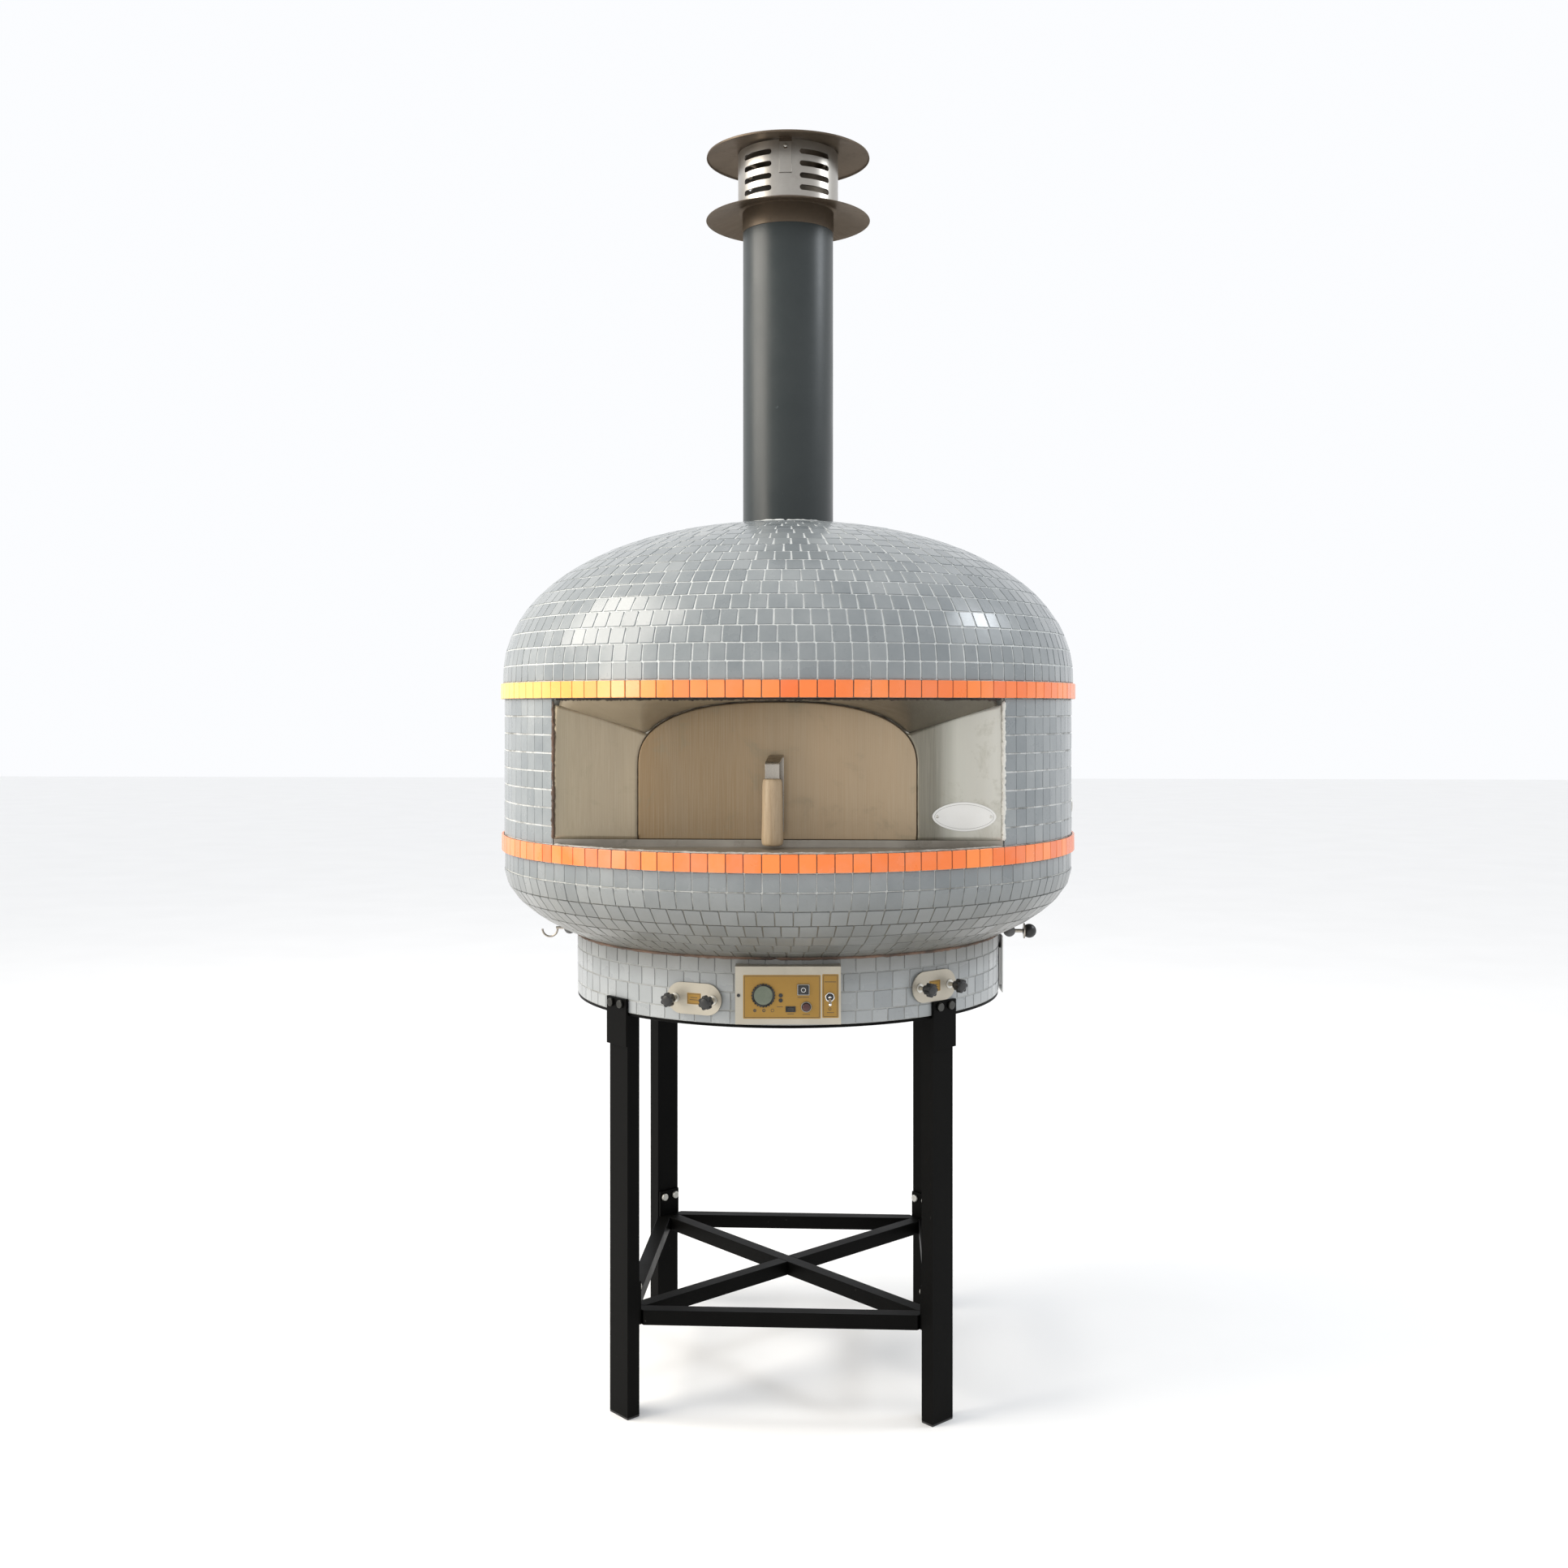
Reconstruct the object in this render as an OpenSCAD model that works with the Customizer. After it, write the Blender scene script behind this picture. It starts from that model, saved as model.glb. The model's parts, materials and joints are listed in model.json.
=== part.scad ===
// Wood fired pizza oven: tiled dome on a cylindrical drum and a bolted tube stand.
// Millimetres. Origin on the floor under the dome's axis, the mouth faces -Y, +Z is up.

/* [Stand] */
// Length of each leg tube, from the floor plug to the drum
leg_top_z = 817; // [780:1:860]
// Width of a leg tube, across the radius
leg_w = 60; // [50:1:70]
// Thickness of a leg tube, along the radius
leg_d = 30; // [25:1:35]
// Side of the square stretcher tube
rail = 30; // [25:1:35]
// Height of the stretcher's underside above the floor
rail_z = 185; // [150:1:260]
// Wall of every stand tube
tube_wall = 2.5; // [2:0.5:4]

/* [Drum] */
// Outer radius of the tiled drum
drum_r = 464; // [455:1:470]
// Height of the drum's lower edge
drum_z = 823; // [820:1:826]
// Height at which the drum meets the bowl
drum_top_z = 954; // [952:1:958]

/* [Bowl and wall] */
// Outer radius of the tiled bowl at its rim
bowl_r = 620; // [615:1:622]
// Depth of the bowl's curve below its rim
bowl_h = 220; // [215:1:225]
// Height of the bowl curve's centre
bowl_z = 1100; // [1095:1:1105]
// Outer radius of the tiled wall
wall_r = 621; // [618:1:622]
// Outer radius of the lower coloured band
low_band_r = 627; // [624:1:628]
// Outer radius of the upper coloured band
up_band_r = 629; // [626:1:632]
// Height of the lower edge of the lower coloured band
low_band_z = 1133.5; // [1130:0.5:1136]
// Height of the lower edge of the wall
wall_z = 1169; // [1168:0.5:1172]
// Height of the lower edge of the upper coloured band
up_band_z = 1457.5; // [1455:0.5:1460]
// Height of the lower edge of the tiled dome
dome_foot_z = 1491; // [1489:0.5:1494]
// Thickness of the mosaic tiles
tile_t = 6; // [4:0.5:8]

/* [Dome] */
// Radius of the tiled dome at its spring line
dome_r = 624; // [620:1:626]
// Rise of the dome above its spring line
dome_h = 347; // [335:1:360]
// Height of the spring line
dome_z = 1500; // [1495:1:1505]
// Roundness of the dome: 2 is an ellipse, more is fuller
dome_n = 2.15; // [2:0.05:2.4]
// Thickness of the render shell under the tiles
render_t = 22; // [18:1:30]
// Inner radius of the cast cooking chamber
chamber_r = 410; // [390:1:420]
// Inner height of the cast cooking chamber
chamber_h = 390; // [370:1:400]
// Wall of the cast cooking chamber
cast_t = 60; // [50:1:65]

/* [Mouth] */
// Half angle of the opening in the wall
mouth_half_angle = 45.7; // [44:0.1:47]
// Distance of the front sheets from the axis
face_y = 436; // [434:1:440]
// Height of the cooking floor
hearth_z = 1180; // [1178:1:1182]
// Half width of the door
door_hw = 273; // [260:1:280]
// Height of the door's straight sides above the cooking floor
door_side_h = 143; // [130:1:150]
// Rise of the door's arch above its straight sides
door_rise = 127; // [110:1:129]
// Thickness of the door
door_t = 36; // [30:1:37]

/* [Hearth drive] */
// Radius of the turning cooking floor
disc_r = 394; // [370:1:396]
// Thickness of the turning cooking floor
disc_t = 40; // [30:1:45]
// Radius of the hearth shaft
shaft_r = 20; // [15:1:24]

/* [Flue] */
// Outer radius of the flue pipe
flue_r = 100; // [90:1:100]
// Height of the flue pipe's top
flue_top_z = 2505; // [2400:1:2510]
// Radius of the two cowl plates
cowl_r = 181; // [170:1:190]
// Radius of the slotted cowl drum
louver_r = 111; // [106:1:120]

/* [Controls] */
// Angle of the control box about the axis, from the front toward +X
box_angle = 2.9; // [0:0.1:6]
// Width and height of the control box
box_w = 204; // [200:1:208]
box_h = 112; // [108:1:116]
// Distance of the fascia's front from the axis
box_y = 490; // [488:1:495]
// Angle of the left inspection port about the axis
port_left_angle = -20.3; // [-24:0.1:-19]
// Angle of the right inspection port about the axis
port_right_angle = 41.7; // [39:0.1:44]

/* [Hidden] */
$fn = 96;

// Stand
leg_in_r = drum_r - leg_d;            // inner face of a leg
leg_angles = [-45, 45, -135, 135];    // front left, front right, rear left, rear right
plug_t = 4;                           // thickness of a foot plug's flange
tab_t = 6;                            // thickness of the tab plates
tab_w = 66;                           // width of a leg's upper tab
tab_top_z = drum_z + 28;              // top of the upper tab
rail_out = 328;                       // half side of the stretcher square
rail_top_z = rail_z + rail;
corner_w = 56;                        // width of a corner tab
corner_top_z = rail_top_z + 58;       // top of a corner tab
bolt_r = 5;                           // M10 bolts
head_r = 8.5;
head_h = 6;
drum_bolt_z = drum_z + 17;
corner_bolt_z = rail_top_z + 44;
bolt_gap = 32;                        // distance between the two bolts of a pair

// Shell
render_in_r = dome_r - tile_t - render_t;
bed_up_r = up_band_r - tile_t;
bed_low_r = low_band_r - tile_t;
tile_in_r = wall_r - tile_t;
flue_hole_r = flue_r + 1;
shell_t = 14;                         // thickness of the cast bowl shell
steel_t = 8;                          // thickness of the drum's wall
kerb_z = hearth_z - 2;                // top of the fixed floor around the disc
kerb_t = 78;                          // thickness of the kerb ring
chamber_n = 2.8;                      // fullness of the cooking chamber's vault
floor_plate_z = 1000;
floor_plate_t = 8;
lip_r = render_in_r - 0.5;            // rim of the kerb and of the mouth's floor

// Mouth
sheet_t = 2;                          // thickness of the mouth's sheets
recess_z = 1164;                      // seat of the lowered floor in front of the door
sill_top_z = kerb_z + 2.5;
seat_y = face_y - 39;                 // front of the cast portal behind the door
door_gap = 1.5;                       // gap round the door
door_z = sill_top_z + 1;
door_side_z = hearth_z + door_side_h;
arch_n = 2.5;                         // roundness of the door's arch
portal_hw = 248;                      // half width of the cast portal's opening
portal_rise = 105;
cheek_in_x = 255;                     // where the arch meets the cheeks' sloping top
cheek_in_z = 1387;
cheek_out_z = 1445;
cheek_out_x = 440;
hood_steps = 32;
hood_out_r = tile_in_r - 1;
hood_out_z = up_band_z - sheet_t - 0.2;
plate_x = 365;                        // centre of the oval plate on the right cheek
plate_z = 1227;

// Door handle
bracket_w = 28;
bracket_t = 4;
bracket_top_z = 1347;
bracket_out = 50;                     // how far the bracket stands off the door
grip_r = 20;
grip_x = -6;                          // the grip hangs a little to the left
grip_low_z = 1173;
grip_high_z = 1303;

// Hearth drive
running_gap = 0.05;                   // radial clearance of every turning bore
motor_z = 872;                        // underside of the gear unit
gear_h = 62;
shaft_low_z = 881;
carrier_z = 1119;
hub_h = 12;

// Cowl
skirt_z = 2519;                       // lower edge of the skirt
louver_z = 2545;
cap_z = 2660;                         // edge of the cap
cap_rise = 24;
slot_h = 12;
slot_pitch = 26;
slot_span = 40;                       // angle that one slot covers
strap_w = 27;

// Controls, as u across and z up from the box's centre
box_z = 886;
box_back_y = 425;
panel_t = 2;
display_u = -47.6;
square_u = 29.5;
square_z = 897;
round_u = 35;
round_z = 864;
rocker_u = 4.8;
rocker_z = 859.5;
toggle_u = 80.3;
toggle_z = 883;
pin_r = 1.2;                          // pivot pins of the rocker and the toggle
rocker_in = 5;                        // distance of the rocker's pivot behind the fascia
toggle_out = 6;                       // distance of the lever's pivot from the fascia

// Inspection ports
port_len = 118;
port_h = 62;
port_z = [869, 883];
port_angles = [port_left_angle, port_right_angle];
stud_off = 41;
stud_len = 42;
stud_r = 4;
knob_r = 14;

// Helpers ---------------------------------------------------------------

// Turns a piece that is drawn at the front so that it faces the given angle.
module around(a) { rotate([0, 0, a]) children(); }

// A box centred on x, from y0 to y1 in front of the axis and from z0 to z1.
module front_box(w, y0, y1, z0, z1) {
    translate([-w / 2, -y1, z0]) cube([w, y1 - y0, z1 - z0]);
}

// A cylinder along -Y, from y0 to y1 in front of the axis.
module front_rod(r, y0, y1, x, z) {
    translate([x, -y0, z]) rotate([90, 0, 0]) cylinder(r = r, h = y1 - y0);
}

// A ring or a disc of revolution.
module ring(r0, r1, z0, z1) {
    translate([0, 0, z0]) difference() {
        cylinder(r = r1, h = z1 - z0);
        translate([0, 0, -1]) cylinder(r = r0, h = z1 - z0 + 2);
    }
}

// Points of the dome's curve from the spring line up to radius r_end.
function dome_end(a, r_end) = acos(pow(r_end / a, dome_n / 2));
function dome_pt(a, b, t) =
    [a * pow(max(cos(t), 0), 2 / dome_n), dome_z + b * pow(sin(t), 2 / dome_n)];
function dome_curve(a, b, r_end, steps = 22) =
    [for (i = [0:steps]) dome_pt(a, b, dome_end(a, r_end) * i / steps)];

// Points of the bowl's curve from its rim down to radius r_end.
function bowl_curve(a, b, r_end, steps = 14) =
    [for (i = [0:steps]) let (t = acos(r_end / a) * i / steps)
        [a * cos(t), bowl_z - b * sin(t)]];

// Points of the chamber's inner or outer curve, from the floor to the crown.
function chamber_curve(a, b, steps = 16) =
    [for (i = [0:steps]) let (t = 90 * i / steps)
        [a * pow(max(cos(t), 0), 2 / chamber_n), kerb_z + b * pow(sin(t), 2 / chamber_n)]];

function reverse(v) = [for (i = [len(v) - 1:-1:0]) v[i]];

// The door's outline, seen from the front.
function arch_pts(hw, z0, z1, rise, steps = 24) = concat([[-hw, z0], [hw, z0]],
    [for (i = [0:steps]) let (t = 180 * i / steps)
        [hw * sign(cos(t)) * pow(abs(cos(t)), 2 / arch_n), z1 + rise * pow(sin(t), 2 / arch_n)]]);
module arch_block(hw, z0, z1, rise, y0, y1) {
    translate([0, -y0, 0]) rotate([90, 0, 0])
        linear_extrude(height = y1 - y0) polygon(arch_pts(hw, z0, z1, rise));
}

// The wedge that the mouth cuts from the wall.
module mouth_wedge(z0, z1) {
    far = 900;
    translate([0, 0, z0]) linear_extrude(height = z1 - z0)
        polygon([[0, 0], [-far * sin(mouth_half_angle), -far * cos(mouth_half_angle)],
            [far * sin(mouth_half_angle), -far * cos(mouth_half_angle)]]);
}

// The cut-outs in the drum's wall for the control box and the ports.
module drum_windows() {
    around(box_angle) front_box(box_w, 380, 520, box_z - box_h / 2, box_z + box_h / 2);
    for (i = [0, 1])
        around(port_angles[i])
            front_box(port_len - 24, 420, 520, port_z[i] - 22, port_z[i] + 22);
}

// Stand -------------------------------------------------------------------

// One leg: a rectangular tube with the tab plate welded to its outer face.
module leg(a) {
    color([0.1, 0.1, 0.1]) around(a) {
        difference() {
            front_box(leg_w, leg_in_r, drum_r, plug_t, leg_top_z);
            front_box(leg_w - 2 * tube_wall, leg_in_r + tube_wall, drum_r - tube_wall,
                0, leg_top_z + 1);
            for (s = [-1, 1])
                front_rod(bolt_r, leg_in_r - 1, leg_in_r + 6, s * bolt_gap / 2, corner_bolt_z);
        }
        difference() {
            front_box(tab_w, drum_r, drum_r + tab_t, leg_top_z - 62, tab_top_z);
            for (s = [-1, 1])
                front_rod(bolt_r, drum_r - 1, drum_r + tab_t + 1, s * bolt_gap / 2, drum_bolt_z);
        }
    }
}
module leg_front_left() { leg(leg_angles[0]); }
module leg_front_right() { leg(leg_angles[1]); }
module leg_rear_left() { leg(leg_angles[2]); }
module leg_rear_right() { leg(leg_angles[3]); }

// Moulded plugs that close the legs' lower ends and stand on the floor.
module foot_plugs() {
    color([0.07, 0.07, 0.07]) for (a = leg_angles) around(a) {
        front_box(leg_w, leg_in_r, drum_r, 0, plug_t);
        front_box(leg_w - 2 * tube_wall, leg_in_r + tube_wall, drum_r - tube_wall,
            plug_t - 0.5, plug_t + 18);
    }
}

// Two bolts through each upper tab and two through each corner tab.
module stand_bolts() {
    color([0.75, 0.75, 0.72]) for (a = leg_angles, s = [-1, 1]) around(a) {
        front_rod(bolt_r, drum_r - steel_t - 8, drum_r + tab_t, s * bolt_gap / 2, drum_bolt_z);
        front_rod(head_r, drum_r + tab_t, drum_r + tab_t + head_h,
            s * bolt_gap / 2, drum_bolt_z);
        front_rod(bolt_r, leg_in_r - tab_t, leg_in_r + 5, s * bolt_gap / 2, corner_bolt_z);
        front_rod(head_r, leg_in_r - tab_t - head_h, leg_in_r - tab_t,
            s * bolt_gap / 2, corner_bolt_z);
    }
}

// Keeps what lies inside the corner tabs' inner faces.
module inside_tabs() {
    r = (leg_in_r - tab_t) * sqrt(2);
    translate([0, 0, rail_z - 1]) linear_extrude(height = rail + 2)
        polygon([[r, 0], [0, r], [-r, 0], [0, -r]]);
}

// One stretcher rail, mitred to its neighbours and cut to the corner tabs.
module stretcher_rail(a) {
    color([0.1, 0.1, 0.1]) around(a) intersection() {
        difference() {
            front_box(2 * rail_out, rail_out - rail, rail_out, rail_z, rail_top_z);
            front_box(2 * rail_out + 2, rail_out - rail + tube_wall, rail_out - tube_wall,
                rail_z + tube_wall, rail_top_z - tube_wall);
        }
        translate([0, 0, rail_z - 1]) linear_extrude(height = rail + 2)
            polygon([[0, 0], [rail_out + 1, -rail_out - 1], [-rail_out - 1, -rail_out - 1]]);
        rotate([0, 0, -a]) inside_tabs();
    }
}
module rail_front() { stretcher_rail(0); }
module rail_right() { stretcher_rail(90); }
module rail_rear() { stretcher_rail(180); }
module rail_left() { stretcher_rail(-90); }

// A diagonal brace tube of the given reach on both sides of the axis.
module brace(a, from, to) {
    color([0.1, 0.1, 0.1]) intersection() {
        around(a) difference() {
            front_box(rail, from, to, rail_z, rail_top_z);
            front_box(rail - 2 * tube_wall, from - 1, to + 1,
                rail_z + tube_wall, rail_top_z - tube_wall);
        }
        inner = rail_out - rail;
        translate([-inner, -inner, rail_z - 1]) cube([2 * inner, 2 * inner, rail + 2]);
    }
}
module brace_long() { brace(45, -430, 430); }
module brace_halves() {
    brace(-45, rail / 2, 430);
    brace(135, rail / 2, 430);
}

// Plates welded to the stretcher's corners and bolted to the legs' inner faces.
module corner_tabs() {
    color([0.1, 0.1, 0.1]) for (a = leg_angles) around(a) difference() {
        front_box(corner_w, leg_in_r - tab_t, leg_in_r, rail_z, corner_top_z);
        for (s = [-1, 1])
            front_rod(bolt_r, leg_in_r - tab_t - 1, leg_in_r + 1, s * bolt_gap / 2,
                corner_bolt_z);
    }
}

// Drum --------------------------------------------------------------------

// Steel disc that closes the drum's underside and sits on the legs.
module drum_base_plate() {
    color([0.12, 0.12, 0.12]) translate([0, 0, leg_top_z])
        difference() {
            cylinder(r = drum_r - 1, h = drum_z - leg_top_z);
            for (i = [0:5]) rotate([0, 0, 60 * i]) translate([150, 0, -1])
                cylinder(r = 14, h = 20);
        }
}

// Rolled steel wall of the drum, with the windows for the box and the ports.
module drum_shell() {
    color([0.5, 0.5, 0.48]) difference() {
        ring(drum_r - tile_t - steel_t, drum_r - tile_t, drum_z, drum_top_z);
        drum_windows();
        drum_bolt_holes();
    }
}
module drum_bolt_holes() {
    for (a = leg_angles, s = [-1, 1]) around(a)
        front_rod(bolt_r, drum_r - 60, drum_r + 10, s * bolt_gap / 2, drum_bolt_z);
}

// Mosaic tiles on the drum.
module drum_tiles() {
    color([0.62, 0.65, 0.65]) difference() {
        ring(drum_r - tile_t, drum_r, drum_z, drum_top_z);
        drum_windows();
        drum_bolt_holes();
    }
}

// Flat cover on the drum's right side, with its small latch.
module service_cover() {
    color([0.85, 0.84, 0.8]) around(92) {
        front_box(110, drum_r + 4, drum_r + 7, drum_z - 6, drum_top_z - 14);
        for (s = [-1, 1]) translate([s * 40, 0, 0])
            front_box(12, drum_r - 1.2, drum_r + 4, drum_z + 10, drum_top_z - 40);
        front_rod(7, drum_r + 7, drum_r + 14, 30, drum_z + 16);
    }
}

// Supply gland in the drum's rear wall.
module cable_gland() {
    color([0.1, 0.1, 0.1]) around(180) difference() {
        union() {
            front_rod(13, drum_r, drum_r + 5, 0, drum_z + 35);
            front_rod(10, drum_r + 5, drum_r + 22, 0, drum_z + 35);
        }
        front_rod(5, drum_r + 8, drum_r + 30, 0, drum_z + 35);
    }
}

// Bowl --------------------------------------------------------------------

// Cast shell under the bowl's tiles.
module bowl_shell() {
    a = bowl_r - tile_t;
    b = bowl_h - tile_t;
    foot_r = drum_r - tile_t - steel_t;
    foot_z = bowl_z - b * sin(acos(foot_r / a));
    color([0.6, 0.6, 0.57]) rotate_extrude() polygon(concat(
        [[a, low_band_z]], bowl_curve(a, b, drum_r), [[foot_r, foot_z]],
        reverse(bowl_curve(a - shell_t, b - shell_t, foot_r)), [[a - shell_t, low_band_z]]));
}

// Mosaic tiles on the bowl, from the lower band down to the drum.
module bowl_tiles() {
    a = bowl_r - tile_t;
    b = bowl_h - tile_t;
    color([0.6, 0.62, 0.61]) rotate_extrude() polygon(concat(
        [[bowl_r, low_band_z]], bowl_curve(bowl_r, bowl_h, drum_r),
        reverse(bowl_curve(a, b, drum_r)), [[a, low_band_z]]));
}

// Steel plate across the bowl that carries the floor's insulation.
module floor_plate() {
    color([0.35, 0.35, 0.35])
        ring(shaft_r + 8, 516, floor_plate_z, floor_plate_z + floor_plate_t);
}

// Insulating slab under the turning floor.
module base_insulation() {
    a = bowl_r - tile_t - shell_t - 1;
    b = bowl_h - tile_t - shell_t - 1;
    z0 = floor_plate_z + floor_plate_t;
    t0 = asin((bowl_z - z0) / b);
    color([0.8, 0.78, 0.7]) rotate_extrude() polygon(concat(
        [[shaft_r + 20, kerb_z - kerb_t], [shaft_r + 20, z0]],
        [for (i = [0:6]) let (t = t0 * (1 - i / 6)) [a * cos(t), bowl_z - b * sin(t)]],
        [[a, kerb_z - kerb_t]]));
}

// Fixed refractory ring round the turning floor, which carries the chamber. It steps
// down in front of the door.
module kerb_ring() {
    color([0.75, 0.68, 0.58]) difference() {
        ring(disc_r + 6, lip_r, kerb_z - kerb_t, kerb_z);
        front_box(3 * lip_r, face_y - sheet_t, 900, recess_z, kerb_z + 1);
    }
}

// Hearth drive --------------------------------------------------------------

// Hollow-shaft gear unit with its motor, hung under the floor plate.
module hearth_motor() {
    gear_w = 150;
    gear_top_z = motor_z + gear_h;
    color([0.3, 0.33, 0.38]) difference() {
        union() {
            front_box(gear_w, -55, 55, motor_z, gear_top_z);
            translate([gear_w / 2, 0, motor_z + gear_h / 2]) rotate([0, 90, 0])
                cylinder(r = 36, h = 130);
            for (s = [-1, 1]) translate([s * 62, 0, 0])
                front_box(12, -50, 50, gear_top_z, floor_plate_z);
        }
        translate([0, 0, shaft_low_z - 1]) cylinder(r = shaft_r + running_gap, h = 80);
    }
}

// Flanged bearing under the floor plate.
module hearth_bearing() {
    flange_t = 10;
    depth = 38;
    color([0.45, 0.47, 0.5]) translate([0, 0, floor_plate_z]) difference() {
        union() {
            translate([0, 0, -flange_t]) cylinder(r = 52, h = flange_t);
            translate([0, 0, -depth]) cylinder(r = 34, h = depth);
        }
        translate([0, 0, -depth - 1]) cylinder(r = shaft_r + running_gap, h = depth + 2);
    }
}

// Shaft from the gear unit up to the carrier.
module hearth_shaft() {
    color([0.7, 0.7, 0.7]) translate([0, 0, shaft_low_z])
        cylinder(r = shaft_r, h = carrier_z - shaft_low_z);
}

// Steel spider that carries the turning floor.
module hearth_carrier() {
    plate_low_z = carrier_z + hub_h;
    color([0.3, 0.3, 0.3]) {
        translate([0, 0, carrier_z]) cylinder(r = 55, h = hub_h);
        translate([0, 0, plate_low_z])
            cylinder(r = disc_r - 30, h = hearth_z - disc_t - plate_low_z);
    }
}

// Turning refractory floor.
module hearth_disc() {
    color([0.78, 0.7, 0.58]) translate([0, 0, hearth_z - disc_t])
        cylinder(r = disc_r, h = disc_t);
}

// Chamber -------------------------------------------------------------------

// The cast cooking chamber with its flat-fronted portal and flue hole.
module cast_dome() {
    color([0.72, 0.6, 0.5]) difference() {
        union() {
            rotate_extrude() polygon(concat(
                chamber_curve(chamber_r + cast_t, chamber_h + cast_t), [[0, kerb_z]]));
            arch_block(portal_hw + 55, kerb_z, door_side_z, portal_rise + 45, 250, seat_y);
        }
        translate([0, 0, -0.01]) rotate_extrude() polygon(concat(
            chamber_curve(chamber_r, chamber_h), [[0, kerb_z]]));
        translate([-500, -700, kerb_z - 1]) cube([1000, 700 - seat_y, 400]);
        arch_block(portal_hw, kerb_z - 1, door_side_z - 20, portal_rise, 200, seat_y + 1);
        cylinder(r = flue_r - 10, h = 2000);
    }
}

// The space in front of the cast portal that the mouth's sheets line.
module mouth_space() {
    front_box(1400, face_y - sheet_t, 900, wall_z, up_band_z);
    arch_block(door_hw + door_gap + sheet_t, kerb_z - 1, door_side_z, door_rise + 3,
        seat_y - 1, face_y);
}

// Insulation between the chamber and the render shell.
module dome_insulation() {
    a = render_in_r;
    b = dome_h - tile_t - render_t;
    color([0.86, 0.84, 0.78]) difference() {
        rotate_extrude() polygon(concat(
            [[0, kerb_z], [a - 0.5, kerb_z]], dome_curve(a - 0.5, b - 0.5, flue_hole_r),
            [[0, dome_z + b - 2]]));
        rotate_extrude() polygon(concat(
            chamber_curve(chamber_r + cast_t, chamber_h + cast_t), [[0, kerb_z]]));
        arch_block(portal_hw + 55, kerb_z - 1, door_side_z, portal_rise + 45, 250, seat_y);
        mouth_space();
        hood_space();
        cylinder(r = flue_r + 0.5, h = 2000);
    }
}

// Render shell from the bowl's rim to the crown, thickened behind the two bands.
module render_shell() {
    a = dome_r - tile_t;
    b = dome_h - tile_t;
    color([0.72, 0.72, 0.68]) difference() {
        rotate_extrude() polygon(concat(
            [[a - render_t, low_band_z], [bed_low_r, low_band_z], [bed_low_r, wall_z],
                [tile_in_r, wall_z], [tile_in_r, up_band_z], [bed_up_r, up_band_z],
                [bed_up_r, dome_foot_z], [a, dome_foot_z]],
            dome_curve(a, b, flue_hole_r),
            reverse(dome_curve(a - render_t, b - render_t, flue_hole_r))));
        mouth_wedge(wall_z, up_band_z);
    }
}

// Mosaic tiles on the dome, up to the flue.
module dome_tiles() {
    a = dome_r - tile_t;
    b = dome_h - tile_t;
    color([0.66, 0.69, 0.7]) rotate_extrude() polygon(concat(
        [[a, dome_foot_z], [dome_r, dome_foot_z]], dome_curve(dome_r, dome_h, flue_hole_r),
        reverse(dome_curve(a, b, flue_hole_r))));
}

// The two coloured bands of tiles.
module upper_band() {
    color([0.98, 0.55, 0.25]) ring(bed_up_r, up_band_r, up_band_z, dome_foot_z);
}
module lower_band() {
    color([0.98, 0.55, 0.25]) ring(bed_low_r, low_band_r, low_band_z, wall_z);
}

// Mosaic tiles on the wall, open at the mouth.
module wall_tiles() {
    color([0.62, 0.65, 0.66]) difference() {
        ring(tile_in_r, wall_r, wall_z, up_band_z);
        mouth_wedge(wall_z - 1, up_band_z + 1);
    }
}

// Mouth -----------------------------------------------------------------------

// The hood's inner edge: it follows the door's arch, then the cheeks' sloping tops.
function hood_in_z(x) = abs(x) < cheek_in_x
    ? door_side_z + (door_rise + 3)
        * pow(1 - pow(abs(x) / (door_hw + 3.5), arch_n), 1 / arch_n)
    : cheek_in_z + (cheek_out_z - cheek_in_z)
        * (abs(x) - cheek_in_x) / (cheek_out_x - cheek_in_x);

// The two sheets beside the door.
module cheek_plates() {
    color([0.66, 0.65, 0.6]) difference() {
        for (s = [-1, 1])
            translate([0, -face_y + sheet_t, 0]) rotate([90, 0, 0])
                linear_extrude(height = sheet_t) polygon([
                    [s * (cheek_in_x - 30), sill_top_z], [s * cheek_out_x, sill_top_z],
                    [s * cheek_out_x, cheek_out_z - 0.1], [s * cheek_in_x, cheek_in_z - 0.1]]);
        arch_block(door_hw + door_gap, kerb_z, door_side_z, door_rise + door_gap,
            seat_y, face_y + 1);
    }
}

// Sheet that lines the throat behind the cheeks, round the door.
module throat_liner() {
    color([0.6, 0.58, 0.52]) difference() {
        arch_block(door_hw + door_gap + sheet_t, sill_top_z, door_side_z,
            door_rise + door_gap + 1.2, seat_y, face_y - sheet_t);
        arch_block(door_hw + door_gap, sill_top_z - 1, door_side_z,
            door_rise + door_gap, seat_y - 1, face_y + 1);
    }
}

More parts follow.
